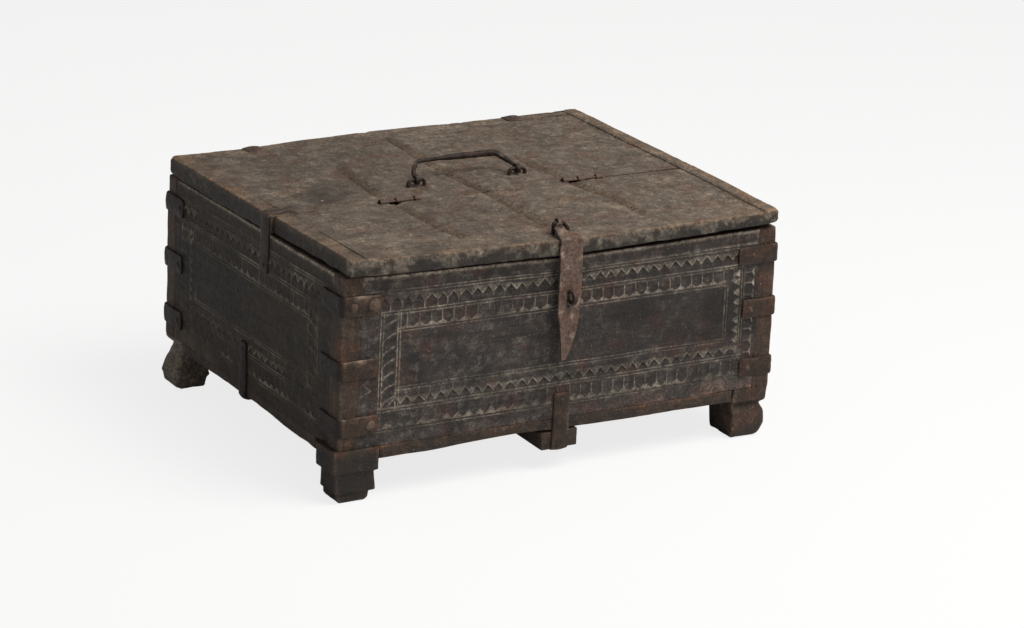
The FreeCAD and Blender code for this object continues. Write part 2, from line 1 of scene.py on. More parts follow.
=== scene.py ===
import math
import bpy
import numpy as np
from mathutils import Matrix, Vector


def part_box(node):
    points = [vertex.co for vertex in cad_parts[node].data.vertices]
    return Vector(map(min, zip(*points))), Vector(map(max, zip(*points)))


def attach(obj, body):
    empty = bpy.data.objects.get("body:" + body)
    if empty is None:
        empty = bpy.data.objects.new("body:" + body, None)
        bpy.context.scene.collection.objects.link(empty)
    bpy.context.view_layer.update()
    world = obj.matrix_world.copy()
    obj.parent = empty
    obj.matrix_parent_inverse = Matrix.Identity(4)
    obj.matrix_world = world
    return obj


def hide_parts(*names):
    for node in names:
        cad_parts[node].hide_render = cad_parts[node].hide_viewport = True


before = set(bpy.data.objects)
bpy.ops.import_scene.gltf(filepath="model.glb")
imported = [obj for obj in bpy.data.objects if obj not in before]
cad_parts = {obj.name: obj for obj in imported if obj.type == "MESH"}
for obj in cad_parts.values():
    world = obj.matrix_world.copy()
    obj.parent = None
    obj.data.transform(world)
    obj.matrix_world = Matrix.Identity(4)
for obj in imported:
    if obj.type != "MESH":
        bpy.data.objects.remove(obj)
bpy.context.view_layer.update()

# Case coordinates: millimetres from the case's left face, its front face and its bottom line
ORIGIN = np.array([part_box("left_board")[0].x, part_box("front_board")[0].y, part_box("front_board")[0].z]) * 1000
X, Y, Z = np.eye(3)


def case_box(node):
    """Lowest and highest corner of a CAD node in case coordinates."""
    low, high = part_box(node)
    return np.array(low) * 1000 - ORIGIN, np.array(high) * 1000 - ORIGIN


WIDTH = case_box("right_board")[1][0]
DEPTH = case_box("back_board")[1][1]
RIM = case_box("front_board")[1][2]
FLOOR = -ORIGIN[2]
TOP = case_box("rear_top")[1][2]
JOINT_Y = (case_box("rear_top")[0][1] + case_box("flap_board")[1][1]) / 2


# Noise, the same on every run
TABLE_SIZE = 32
LUMPS = np.random.default_rng(7).random((TABLE_SIZE,) * 3) * 2 - 1


def noise(points, size, seed=0):
    """Smooth noise from -1 to 1 in lumps of the given size, which may differ by axis."""
    q = points / size + 17.3 * seed
    cell = np.floor(q).astype(int)
    part = q - cell
    part = part * part * (3 - 2 * part)
    total = np.zeros(len(points))
    for corner in np.ndindex(2, 2, 2):
        at = (cell + corner) % TABLE_SIZE
        weight = np.prod(np.where(corner, part, 1 - part), axis=1)
        total += LUMPS[at[:, 0], at[:, 1], at[:, 2]] * weight
    return total


def rough(points, size, octaves=3, seed=0):
    """Noise with finer noise on top of it."""
    total = np.zeros(len(points))
    for octave in range(octaves):
        total += noise(points, np.asarray(size, float) / 2 ** octave, seed + octave) / 2 ** octave
    return total


def weather(points, amount, size, seed=0):
    """Pushes points about, so that nothing stays quite flat or straight."""
    shifts = [rough(points, size, 2, seed + 5 * axis) for axis in range(3)]
    return points + amount * np.stack(shifts, axis=1)


def smoothstep(value, low, high):
    """Goes smoothly from 0 at low to 1 at high; low may be the greater of the two."""
    t = np.clip((value - low) / (high - low), 0, 1)
    return t * t * (3 - 2 * t)


def blot(points, x, y, half_x, half_y, seed=0):
    """An uneven stain, 1 in its middle."""
    distance = np.hypot((points[:, 0] - x) / half_x, (points[:, 1] - y) / half_y)
    return smoothstep(distance + 0.25 * rough(points, 18, 2, seed), 1.1, 0.45)


# Solids of cells
def marks(low, high, step, extra=(), edge=3.0):
    """Grid lines from low to high, close together near both ends and present at the extra places."""
    edge = min(edge, (high - low) / 3)
    ends = edge * np.array([0, 0.15, 0.38, 0.68, 1.0])
    count = max(1, int(round((high - low - 2 * edge) / step)))
    middle = np.linspace(low + edge, high - edge, count + 1)
    lines = np.sort(np.concatenate([low + ends, middle, high - ends, list(extra)]))
    keep = [lines[0]]
    for line in lines[1:]:
        if line - keep[-1] > 0.05:
            keep.append(line)
    return np.array(keep)


def lattice(xs, ys, zs, gone=None):
    """Corners, outward quads and grid places of a block of cells, without the cells that are gone."""
    axes = [np.asarray(a, float) for a in (xs, ys, zs)]
    counts = [len(a) - 1 for a in axes]
    middles = np.meshgrid(*[(a[1:] + a[:-1]) / 2 for a in axes], indexing="ij")
    filled = np.pad(np.ones(counts, bool) if gone is None else ~gone(*middles), 1)
    strides = np.array([(counts[1] + 1) * (counts[2] + 1), counts[2] + 1, 1])
    quads = []
    for axis in range(3):
        b, c = strides[(axis + 1) % 3], strides[(axis + 2) % 3]
        for side in (0, 1):
            bare = filled & ~np.roll(filled, 1 - 2 * side, axis)
            cells = np.argwhere(bare) - 1
            cells[:, axis] += side
            corner = cells @ strides
            ring = [corner, corner + b, corner + b + c, corner + c]
            quads.append(np.stack(ring if side else ring[::-1], axis=1))
    used, quads = np.unique(np.concatenate(quads), return_inverse=True)
    quads = quads.reshape(-1, 4)
    place = np.stack([used // strides[0], used // strides[1] % (counts[1] + 1), used % strides[1]], axis=1)
    points = np.stack([axes[i][place[:, i]] for i in range(3)], axis=1)
    return points, quads, place


def round_edges(points, low, high, radius):
    """Rounds the edges of a block; the radius and the corners may differ from point to point."""
    radius = np.broadcast_to(np.asarray(radius, float).reshape(-1, 1), (len(points), 1))
    centre = (low + high) / 2
    core = np.clip(points, np.minimum(low + radius, centre), np.maximum(high - radius, centre))
    away = points - core
    length = np.maximum(np.linalg.norm(away, axis=1, keepdims=True), 1e-9)
    return core + away * np.minimum(1, radius / length)


def edge_distance(points, low, high):
    """How far each point of a block's surface is from the block's nearest edge."""
    gaps = np.minimum(np.abs(points - low), np.abs(high - points))
    return np.sort(gaps, axis=1)[:, 1]


# Finished pieces. The case has sagged and spread: each pair is a place from left to right and how far the rim
# stands too high there.
FRONT_RIM = [(0, 1.5), (64, -1.4), (144, -3.0), (240, -5.8), (348, -4.7), (480, -2.4)]
BACK_RIM = [(0, -0.5), (72, -2.0), (228, 2.2), (370, 0.9), (480, 2.0)]
SAG_FROM = 113.0
SPREAD_ABOVE, SPREAD_BELOW = 0.8, 1.6


def warp(points):
    """Moves points of a straight case to where they are on the worn one."""
    x, y, z = points.T
    front = np.interp(x, *np.transpose(FRONT_RIM)) * smoothstep(y, 148, -10)
    back = np.interp(x, *np.transpose(BACK_RIM)) * smoothstep(y, 158, DEPTH)
    rise = (front + back) * np.clip((z - SAG_FROM) / (RIM - SAG_FROM), 0, 1)
    spread = SPREAD_ABOVE + SPREAD_BELOW * smoothstep(RIM - z, 0, 70)
    return np.stack([x + (x / (WIDTH / 2) - 1) * spread, y, z + rise], axis=1)


def piece(name, body, points, faces, material, nodes, paint, warped=True):
    """Makes one named piece from case coordinates. Paint is a dictionary of values per point."""
    points = warp(points) if warped else points
    mesh = bpy.data.meshes.new(name)
    mesh.from_pydata(((points + ORIGIN) / 1000).tolist(), [], [list(face) for face in faces])
    for layer in ("dust_and_highlight", "wear_and_highlight", "grime_and_shade"):
        values = paint.get(layer, np.zeros(len(points)))
        attribute = mesh.attributes.new(layer, "FLOAT", "POINT")
        attribute.data.foreach_set("value", np.clip(values, 0, 1).astype(np.float32))
    mesh.shade_smooth()
    mesh.materials.append(material)
    obj = bpy.data.objects.new(name, mesh)
    bpy.context.scene.collection.objects.link(obj)
    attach(obj, body)
    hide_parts(*nodes)


def join(*shells):
    """Puts several shells of points and faces into one."""
    points, faces, start = [], [], 0
    for shell_points, shell_faces in shells:
        points.append(np.asarray(shell_points, float))
        faces += [[corner + start for corner in face] for face in shell_faces]
        start += len(shell_points)
    return np.concatenate(points), faces


def ringed(rings):
    """Quads between rings of equal length, with a cap on the first and on the last."""
    count, sides = len(rings), len(rings[0])
    faces = []
    for i in range(count - 1):
        for j in range(sides):
            k = (j + 1) % sides
            faces.append([i * sides + j, i * sides + k, (i + 1) * sides + k, (i + 1) * sides + j])
    faces.append(list(range(sides))[::-1])
    faces.append([(count - 1) * sides + j for j in range(sides)])
    return np.concatenate(rings), faces


def angles(count):
    """Even steps round a full turn."""
    return np.linspace(0, 2 * math.pi, count, endpoint=False)


def spokes(count, first, second):
    """Unit vectors all round, from one direction towards a second that is square to it."""
    return np.outer(np.cos(angles(count)), first) + np.outer(np.sin(angles(count)), second)


def frame_of(direction):
    """Two unit vectors square to a unit direction and to each other."""
    first = np.cross(Z if abs(direction[2]) < 0.9 else Y, direction)
    first /= np.linalg.norm(first)
    return first, np.cross(direction, first)


def run_of(route):
    """How far along a route each of its points is."""
    return np.concatenate([[0], np.cumsum(np.linalg.norm(np.diff(route, axis=0), axis=1))])


def headings(route):
    """The direction in which a route runs at each of its points."""
    ahead = np.gradient(route, axis=0)
    return ahead / np.linalg.norm(ahead, axis=1, keepdims=True)


def lathe(profile, centre, axis, sides):
    """A closed turned shape: pairs of radius and height along a unit axis."""
    around = spokes(sides, *frame_of(axis))
    return ringed([centre + radius * around + height * axis for radius, height in profile])


def tube(route, radii, sides=14):
    """A round bar along a route, with one radius or a radius for each of its points."""
    ahead = headings(route)
    first = frame_of(ahead[0])[0]
    rings = []
    for point, direction, radius in zip(route, ahead, np.broadcast_to(radii, len(route))):
        first = first - direction * (first @ direction)
        first /= np.linalg.norm(first)
        rings.append(point + radius * spokes(sides, first, np.cross(direction, first)))
    return ringed(rings)


RING_SIDES, RING_SECTION, RING_SQUARE = 28, 14, 0.6


def eye_ring(centre, inner, outer, width):
    """A ring about an axis along X, with a softly squared section."""
    across, up = np.cos(angles(RING_SECTION)), np.sin(angles(RING_SECTION))
    radial = (inner + outer) / 2 + (outer - inner) / 2 * np.sign(across) * np.abs(across) ** RING_SQUARE
    sideways = width / 2 * np.sign(up) * np.abs(up) ** RING_SQUARE
    points, faces = [], []
    for i, angle in enumerate(angles(RING_SIDES)):
        points.append(np.stack([sideways, radial * math.cos(angle), radial * math.sin(angle)], axis=1))
        start, after = i * RING_SECTION, (i + 1) % RING_SIDES * RING_SECTION
        for j in range(RING_SECTION):
            k = (j + 1) % RING_SECTION
            faces.append([start + j, after + j, after + k, start + k])
    return np.concatenate(points) + centre, faces


def rounded_route(corners, radius, step=0.8):
    """A route of straight runs whose corners are rounded, in even steps."""
    corners = [np.array(c, float) for c in corners]
    dense = [corners[0]]
    for before, corner, after in zip(corners[:-2], corners[1:-1], corners[2:]):
        reach = min(radius, np.linalg.norm(corner - before) * 0.49, np.linalg.norm(after - corner) * 0.49)
        start = corner + (before - corner) / np.linalg.norm(before - corner) * reach
        end = corner + (after - corner) / np.linalg.norm(after - corner) * reach
        for t in np.linspace(0, 1, 9):
            dense.append((1 - t) ** 2 * start + 2 * t * (1 - t) * corner + t * t * end)
    dense.append(corners[-1])
    dense = np.array(dense)
    run = run_of(dense)
    places = np.linspace(0, run[-1], max(2, int(run[-1] / step)) + 1)
    return np.stack([np.interp(places, run, dense[:, axis]) for axis in range(3)], axis=1)


DENT_SIZE = 6.0


def forge(shells, voxel, smooth, seed, dents):
    """Welds overlapping shells into one skin and beats it slightly out of true."""
    points, faces = join(*shells)
    mesh = bpy.data.meshes.new("blank")
    mesh.from_pydata(points.tolist(), [], faces)
    obj = bpy.data.objects.new("blank", mesh)
    bpy.context.scene.collection.objects.link(obj)
    remesh = obj.modifiers.new("weld", "REMESH")
    remesh.mode = "VOXEL"
    remesh.voxel_size = voxel
    soften = obj.modifiers.new("soften", "SMOOTH")
    soften.factor = 0.5
    soften.iterations = smooth
    welded = obj.evaluated_get(bpy.context.evaluated_depsgraph_get()).to_mesh()
    places = np.array([v.co for v in welded.vertices], float)
    faces = [list(face.vertices) for face in welded.polygons]
    normals = np.array([v.normal for v in welded.vertices], float)
    bpy.data.objects.remove(obj)
    bpy.data.meshes.remove(mesh)
    return places + normals * (dents * rough(places, DENT_SIZE, 2, seed))[:, None], faces


# Materials
def srgb(*levels):
    """A colour as it looks on screen, turned into the linear one that a shader takes."""
    return tuple(((v / 255 + 0.055) / 1.055) ** 2.4 for v in levels) + (1.0,)


BUMP, GLOSS = 0.0015, 0.35


class Nodes:
    """Builds the nodes of a material or world; an input is a number, a colour or another node's output."""

    def __init__(self, owner):
        owner.use_nodes = True
        self.owner, self.tree = owner, owner.node_tree
        self.tree.nodes.clear()

    def add(self, kind, inputs=None, output=0, **settings):
        """Adds a node. Returns one of its outputs, or the owner where the node has none."""
        node = self.tree.nodes.new("ShaderNode" + kind)
        for key, value in settings.items():
            setattr(node, key, value)
        for key, value in (inputs or {}).items():
            if isinstance(value, bpy.types.NodeSocket):
                self.tree.links.new(value, node.inputs[key])
            else:
                node.inputs[key].default_value = value
        return node.outputs[output] if len(node.outputs) else self.owner

    def noise(self, vector, scale, detail=4.0, roughness=0.6, distortion=0.0):
        return self.add("TexNoise", {"Vector": vector, "Scale": scale, "Detail": detail,
                                     "Roughness": roughness, "Distortion": distortion})

    def ramp(self, value, low, high, start=0.0, end=1.0):
        limits = {"From Min": low, "From Max": high, "To Min": start, "To Max": end}
        return self.add("MapRange", {"Value": value, **limits}, clamp=True)

    def times(self, a, b):
        return self.add("Math", {0: a, 1: b}, operation="MULTIPLY")

    def plus(self, a, b):
        return self.add("Math", {0: a, 1: b}, operation="ADD")

    def mix(self, factor, a, b, blend="MIX"):
        return self.add("Mix", {0: factor, 6: a, 7: b}, output=2, data_type="RGBA", blend_type=blend)

    def layer(self, name):
        return self.add("Attribute", output=2, attribute_name=name)

    def finish(self, colour, roughness, height, metallic=0.0):
        bump = self.add("Bump", {"Height": height, "Distance": BUMP, "Strength": 1.0})
        shader = self.add("BsdfPrincipled", {"Base Color": colour, "Roughness": roughness, "Normal": bump,
                                             "Metallic": metallic, "Specular IOR Level": GLOSS})
        return self.add("OutputMaterial", {"Surface": shader})


GRAIN = {"x": (12, 240, 240), "y": (240, 12, 240), "z": (240, 240, 12)}
# The dark colour of grime, of dark fibres and of painted shade
SOOT_AND_SHADE = srgb(30, 26, 23)


def wood(name, grain, dark, mid, light, tint, dust_and_highlight, wear_and_highlight, fibres=0.75, scratches=0.25):
    """Old wood: fibres along one axis, blotches, dust in the cuts and bare wood at worn edges; its dust, bare-wood
    and soot colours also paint highlights and shade.
    """
    dark, mid, light, tint, dust_and_highlight, wear_and_highlight = (srgb(*levels) for levels in (dark, mid, light, tint, dust_and_highlight, wear_and_highlight))
    n = Nodes(bpy.data.materials.new(name))
    place = n.add("TexCoord", output=3)
    stretched = n.add("Mapping", {"Vector": place, "Scale": GRAIN[grain]})
    fibre = n.noise(stretched, 1.0, 8.0, 0.75, 0.6)
    blotch = n.noise(place, 26, 7.0, 0.7)
    patch = n.noise(place, 110, 6.0, 0.7)
    mottle = n.noise(place, 340, 5.0, 0.75)
    colour = n.mix(n.ramp(blotch, 0.4, 0.6), dark, mid)
    colour = n.mix(n.ramp(patch, 0.5, 0.64, 0.0, 0.75), colour, light)
    colour = n.mix(n.ramp(n.noise(place, 40, 5.0, 0.65), 0.5, 0.62, 0.0, 0.8), colour, tint)
    colour = n.mix(n.ramp(fibre, 0.5, 0.36, 0.0, fibres), colour, SOOT_AND_SHADE)
    slanted = n.add("Mapping", {"Vector": place, "Rotation": (0.3, 0.2, 0.5), "Scale": (38, 800, 60)})
    colour = n.mix(n.ramp(n.noise(slanted, 1.0, 2.0, 0.5), 0.7, 0.76, 0.0, scratches), colour, dust_and_highlight)
    colour = n.mix(n.ramp(n.layer("grime_and_shade"), 0.0, 1.0, 0.0, 0.9), colour, SOOT_AND_SHADE)
    worn = n.times(n.layer("wear_and_highlight"), n.ramp(patch, 0.36, 0.54, 0.3, 1.0))
    colour = n.mix(n.times(worn, n.ramp(mottle, 0.4, 0.5, 0.55, 1.0)), colour, wear_and_highlight)
    dust_and_highlight_share = n.times(n.layer("dust_and_highlight"), n.ramp(patch, 0.36, 0.54, 0.35, 1.0))
    colour = n.mix(n.times(dust_and_highlight_share, n.ramp(mottle, 0.38, 0.5, 0.5, 1.0)), colour, dust_and_highlight)
    colour = n.mix(1.0, colour, n.ramp(mottle, 0.36, 0.64, 0.5, 1.5), "MULTIPLY")
    colour = n.mix(1.0, colour, n.ramp(n.noise(place, 70, 6.0, 0.7), 0.38, 0.62, 0.75, 1.25), "MULTIPLY")
    colour = n.mix(n.ramp(n.noise(place, 750, 2.0, 0.6), 0.67, 0.74, 0.0, 0.7), colour, dust_and_highlight)
    height = n.plus(n.plus(n.times(fibre, 0.6), mottle), n.times(patch, 1.2))
    return n.finish(colour, n.ramp(mottle, 0.35, 0.65, 0.48, 0.8), height)


def iron(name, dark, mid, rust, bright):
    """Forged iron with hammer marks, rust blooms and bright worn edges; the bright colour also paints highlights,
    and the soot colour painted shade.
    """
    dark, mid, rust, bright = (srgb(*levels) for levels in (dark, mid, rust, bright))
    n = Nodes(bpy.data.materials.new(name))
    place = n.add("TexCoord", output=3)
    blotch = n.noise(place, 80, 6.0, 0.7)
    pits = n.noise(place, 380, 5.0, 0.75)
    colour = n.mix(n.ramp(blotch, 0.42, 0.58), dark, mid)
    colour = n.mix(n.ramp(n.noise(place, 45, 4.0, 0.65), 0.5, 0.62, 0.0, 0.8), colour, rust)
    worn = n.times(n.layer("wear_and_highlight"), n.ramp(blotch, 0.38, 0.56, 0.3, 1.0))
    colour = n.mix(worn, colour, bright)
    colour = n.mix(n.ramp(n.layer("grime_and_shade"), 0.0, 1.0, 0.0, 0.9), colour, SOOT_AND_SHADE)
    colour = n.mix(1.0, colour, n.ramp(pits, 0.36, 0.64, 0.5, 1.5), "MULTIPLY")
    height = n.plus(n.times(pits, 0.7), n.noise(place, 150, 2.0, 0.5))
    return n.finish(colour, n.ramp(pits, 0.3, 0.7, 0.4, 0.66), height, metallic=0.3)


# Pale dust, tan wear and red wear colours; the pale and the red ones also paint highlights along the rims
PALE_DUST_AND_HIGHLIGHT, TAN, RED_WEAR_AND_HIGHLIGHT = (158, 147, 132), (134, 106, 80), (136, 108, 96)
TOP_WOOD = {grain: wood("top_wood_" + grain, grain, (88, 77, 66), (107, 95, 83), (132, 118, 103),
                        (96, 75, 61), (172, 162, 144), TAN, 0.35, 0.4) for grain in "xy"}
FRONT_WOOD = wood("front_wood", "x", (42, 38, 36), (64, 58, 54), (100, 92, 85), (66, 43, 37), PALE_DUST_AND_HIGHLIGHT, RED_WEAR_AND_HIGHLIGHT)
SIDE_WOOD = wood("side_wood", "y", (34, 27, 19), (46, 37, 27), (69, 58, 43), (47, 33, 23), (146, 136, 120),
                 (120, 100, 82), 0.6, 0.1)
BACK_WOOD = wood("back_wood", "x", (50, 43, 37), (68, 59, 51), (96, 86, 74), (66, 50, 41), PALE_DUST_AND_HIGHLIGHT, RED_WEAR_AND_HIGHLIGHT)
POST_WOOD = wood("post_wood", "z", (49, 37, 29), (67, 52, 41), (92, 75, 61), (82, 52, 38), PALE_DUST_AND_HIGHLIGHT,
                 (122, 100, 82), 0.5, 0.15)
BASE_WOOD = wood("base_wood", "x", (44, 37, 31), (62, 53, 45), (90, 78, 66), (72, 52, 40), PALE_DUST_AND_HIGHLIGHT,
                 (140, 100, 74))
IRON = iron("strap_iron", (50, 39, 32), (73, 57, 46), (88, 59, 45), (148, 126, 110))
HASP_IRON = iron("hasp_iron", (80, 65, 57), (102, 84, 74), (106, 78, 64), (158, 137, 122))
BLACK_IRON = iron("black_iron", (36, 29, 26), (54, 44, 38), (70, 50, 42), (136, 118, 106))


# Carving
class Carving:
    """Depth, pale dust, and dark paint that is grime and painted shade, of a carved face, on a grid of two
    coordinates.
    """

    def __init__(self, us, vs):
        self.us, self.vs = us, vs
        self.depth = np.zeros((len(us), len(vs)))
        self.dust_and_highlight = np.zeros_like(self.depth)
        self.grime_and_shade = np.zeros_like(self.depth)
        self.random = np.random.default_rng(11)

    def window(self, corners, margin):
        """The part of the grid round some corners, and its coordinates."""
        low, high = np.min(corners, axis=0) - margin, np.max(corners, axis=0) + margin
        rows = slice(*np.searchsorted(self.us, [low[0], high[0]]))
        columns = slice(*np.searchsorted(self.vs, [low[1], high[1]]))
        return (rows, columns), self.us[rows, None], self.vs[None, columns]

    def stroke(self, corners, width=1.7, depth=0.7, dust_and_highlight=0.9):
        """A V-shaped cut along straight runs."""
        for start, end in zip(corners[:-1], corners[1:]):
            part, u, v = self.window([start, end], width)
            du, dv = end[0] - start[0], end[1] - start[1]
            along = np.clip(((u - start[0]) * du + (v - start[1]) * dv) / (du * du + dv * dv + 1e-9), 0, 1)
            distance = np.hypot(u - start[0] - along * du, v - start[1] - along * dv)
            cut = np.clip(1 - distance / (width / 2), 0, 1)
            self.depth[part] = np.maximum(self.depth[part], depth * cut)
            self.dust_and_highlight[part] = np.maximum(self.dust_and_highlight[part], dust_and_highlight * np.clip(cut * 1.8, 0, 1))

    def chip(self, corners, depth, dust_and_highlight=0.0, grime_and_shade=0.0):
        """A triangular pit, deepest in its middle; its corners run anticlockwise."""
        part, u, v = self.window(corners, 0)
        inside = None
        for (u0, v0), (u1, v1) in zip(corners, corners[1:] + corners[:1]):
            du, dv = u1 - u0, v1 - v0
            side = (du * (v - v0) - dv * (u - u0)) / math.hypot(du, dv)
            inside = side if inside is None else np.minimum(inside, side)
        share = np.clip(inside / 1.6, 0, 1)
        self.depth[part] = np.maximum(self.depth[part], depth * share)
        filled = inside > -0.2
        self.dust_and_highlight[part] = np.where(filled, np.maximum(self.dust_and_highlight[part], dust_and_highlight), self.dust_and_highlight[part])
        self.grime_and_shade[part] = np.where(filled, np.maximum(self.grime_and_shade[part], grime_and_shade), self.grime_and_shade[part])


class Row:
    """A decorated band: s runs along it, and t from 0 at its base line to 1 at its far line."""

    def __init__(self, carving, base_start, base_end, height, flip=False):
        self.carving = carving
        self.start = np.array(base_start, float)
        along = np.array(base_end, float) - self.start
        self.length = np.hypot(*along)
        self.along = along / self.length
        self.across = np.array([-self.along[1], self.along[0]]) * height * (-1 if flip else 1)
        self.flip = flip

    def at(self, s, t):
        return tuple(self.start + self.along * s + self.across * t)

    def steps(self, pitch):
        """Uneven division of the row into teeth of about one pitch."""
        count = int(round(self.length / pitch))
        places = np.linspace(0, self.length, count + 1)
        places[1:-1] += self.carving.random.uniform(-0.09, 0.09, count - 1) * pitch
        return list(zip(places[:-1], places[1:]))

    def chip(self, corners, **looks):
        corners = [self.at(s, t) for s, t in corners]
        self.carving.chip(corners[::-1] if self.flip else corners, **looks)

    def stroke(self, corners, **looks):
        self.carving.stroke([self.at(s, t) for s, t in corners], **looks)

    def zigzag(self, pitch, base=0.42, tip=0.86, stems=0.0, hung=0.0):
        """Gables under a line that runs up and down, their pits painted dark as grime and shade. Stems stand below
        its low points and hang over its tips, each kind as far along as its limit says."""
        for a, b in self.steps(pitch):
            top = tip + self.carving.random.uniform(-0.06, 0.06)
            middle = (a + b) / 2
            self.chip([(a + 0.6, base), (b - 0.6, base), (middle, top - 0.05)], depth=1.1, grime_and_shade=0.5)
            foot_a, foot_b = a + 0.9, b - 0.9
            self.chip([(foot_a, 0.05), (foot_b, 0.05), (foot_b, base), (foot_a, base)], depth=0.5, grime_and_shade=0.3)
            self.stroke([(a, base), (middle, top), (b, base)], width=1.7, depth=0.6, dust_and_highlight=0.85)
            before = a - (b - a) / 2
            self.chip([(a, base + 0.02), (middle - 0.6, top), (before + 0.6, top)], depth=0.25, dust_and_highlight=0.28)
            if a < stems:
                self.stroke([(a, base), (a, 0.04)], width=1.4, dust_and_highlight=0.8)
            if a < hung:
                self.stroke([(middle, top), (middle, 0.97)], width=1.4, dust_and_highlight=0.7)

    def ticks(self, pitch, bare=0.0, tall=0.34):
        """Short upright cuts, each over a small pale triangle that stands on the base line."""
        for a, b in self.steps(pitch):
            middle, half = (a + b) / 2, (b - a) / 2
            height = tall + self.carving.random.uniform(-0.05, 0.05)
            self.chip([(middle - 0.85 * half, 0.07), (middle + 0.85 * half, 0.07), (middle, height)],
                      depth=0.9, dust_and_highlight=0.85)
            self.chip([(middle - 0.9 * half, 0.2), (middle - 0.8, height), (middle - 0.8, 0.9),
                       (a - 0.3 * half, 0.9)], depth=0.4, grime_and_shade=0.35)
            if a >= bare:
                self.stroke([(middle, height), (middle, 0.93)], width=1.4, dust_and_highlight=0.75)

    def leaves(self, pitch):
        """Curved cuts that rise from the base line, each painted darker below it."""
        for a, b in self.steps(pitch):
            turns = np.linspace(0, 1, 7)
            rise = (b - a) * 0.62
            self.chip([(a - 2.5, 0.45), (a + 1.5, 0.45), (a + rise - 1.5, 0.9), (a - 2.5, 0.9)],
                      depth=0.6, grime_and_shade=0.5)
            self.stroke([(a + rise * t ** 0.5, 0.06 + 0.84 * t) for t in turns], width=1.8, dust_and_highlight=0.72)


# Width of a tooth, a scribble at the left of the front, the gap of a double line, how far along the stems of
# the top row and the hung cuts of the third row go, and where the cuts of the lowest row start
PITCH = 12.3
SCRIBBLE = [(21, 51), (33, 56), (24, 63), (31, 67)]
LINE_GAP = 3.0
STEMS_END, HUNG_END, STEMS_START = 105, 90, 165
# Heights of the long lines, and places of the upright ones on the front and on a side
LEVELS = (15.2, 35.2, 54.6, 113.0, 131.0, 152.0)
FRONT_UPRIGHTS = (24.0, 42.0, 60.5, 424.0, 442.0, 457.0)
SIDE_UPRIGHTS = (30.0, 48.0, 67.0, 318.0, 334.0, 352.0)


def double_line(carving, start, end, dust_and_highlight=0.85):
    """Two cuts side by side, the second a little fainter."""
    start, end = np.array(start, float), np.array(end, float)
    along = (end - start) / np.hypot(*(end - start))
    shift = np.array([-along[1], along[0]]) * LINE_GAP / 2
    carving.stroke([tuple(start + shift), tuple(end + shift)], width=1.5, dust_and_highlight=dust_and_highlight)
    carving.stroke([tuple(start - shift), tuple(end - shift)], width=1.5, dust_and_highlight=dust_and_highlight * 0.85)


def carve_borders(carving, uprights):
    """Four decorated rows and two columns round a plain panel. The uprights run from left to right."""
    outer_left, left, inner_left, inner_right, right, outer_right = uprights
    z1, z2, z3, z4, z5, z6 = LEVELS
    for z, (a, b) in zip(LEVELS, ((outer_left, outer_right), (left, right), (inner_left, inner_right),
                                  (inner_left, inner_right), (left, right), (outer_left, outer_right))):
        double_line(carving, (a, z), (b, z + 0.4))
    double_line(carving, (left, z1), (left + 1, z5))
    double_line(carving, (inner_left, z2), (inner_left + 0.8, z5))
    double_line(carving, (inner_right, z3), (inner_right, z4))
    double_line(carving, (right, z2), (right + 1.5, z5), 0.6)
    top_row = Row(carving, (outer_left + 2, z5 + 2), (outer_right - 2, z5 + 2), z6 - z5 - 4)
    top_row.zigzag(PITCH, stems=STEMS_END)
    Row(carving, (inner_left + 3, z4 + 1), (right - 4, z4 + 1), z5 - z4 - 3).ticks(PITCH)
    third = Row(carving, (inner_left - 8, z2 + 2), (right - 4, z2 + 2), z3 - z2 - 4)
    third.zigzag(PITCH, 0.16, 0.6, hung=HUNG_END)
    Row(carving, (left + 4, z1 + 1), (right - 2, z1 + 1), z2 - z1 - 3).ticks(PITCH, bare=STEMS_START)
    Row(carving, (left + 2, z2 + 4), (left + 2, z5 - 3), inner_left - left - 4, flip=True).leaves(PITCH)
    column = Row(carving, (right - 2, z2 + 4), (right - 2, z5 - 3), right - inner_right - 5)
    column.ticks(PITCH * 0.8, bare=math.inf, tall=0.62)
    Row(carving, (outer_right, z1 + 6), (outer_right, z5 - 2), outer_right - right - 3).ticks(PITCH)
    carving.stroke(SCRIBBLE, width=1.4, dust_and_highlight=0.45 * (left < 45))


# Grid steps of plain and of carved heights, how far the fine grid reaches past the rows, and the depths below
# the rim that carry its pale painted highlight line
PLAIN_STEP, PANEL_STEP, ROW_MARGIN = 3.0, 1.2, 3.0
RIM_LINES = np.array([1.0, 2.4, 3.8, 5.2, 6.6])
BOARD_RIPPLES = (60, 60, 5)


def carved_marks(low, high, fine):
    """Grid lines for a carved height: fine in the decorated rows and coarse in the plain panel."""
    lower = np.arange(LEVELS[0] - ROW_MARGIN, LEVELS[2] + ROW_MARGIN, fine)
    panel = np.arange(LEVELS[2] + ROW_MARGIN, LEVELS[3] - ROW_MARGIN, PANEL_STEP)
    upper = np.arange(LEVELS[3] - ROW_MARGIN, LEVELS[5] + ROW_MARGIN, fine)
    return marks(low, high, PANEL_STEP * 8, np.concatenate([lower, panel, upper, high - RIM_LINES]))


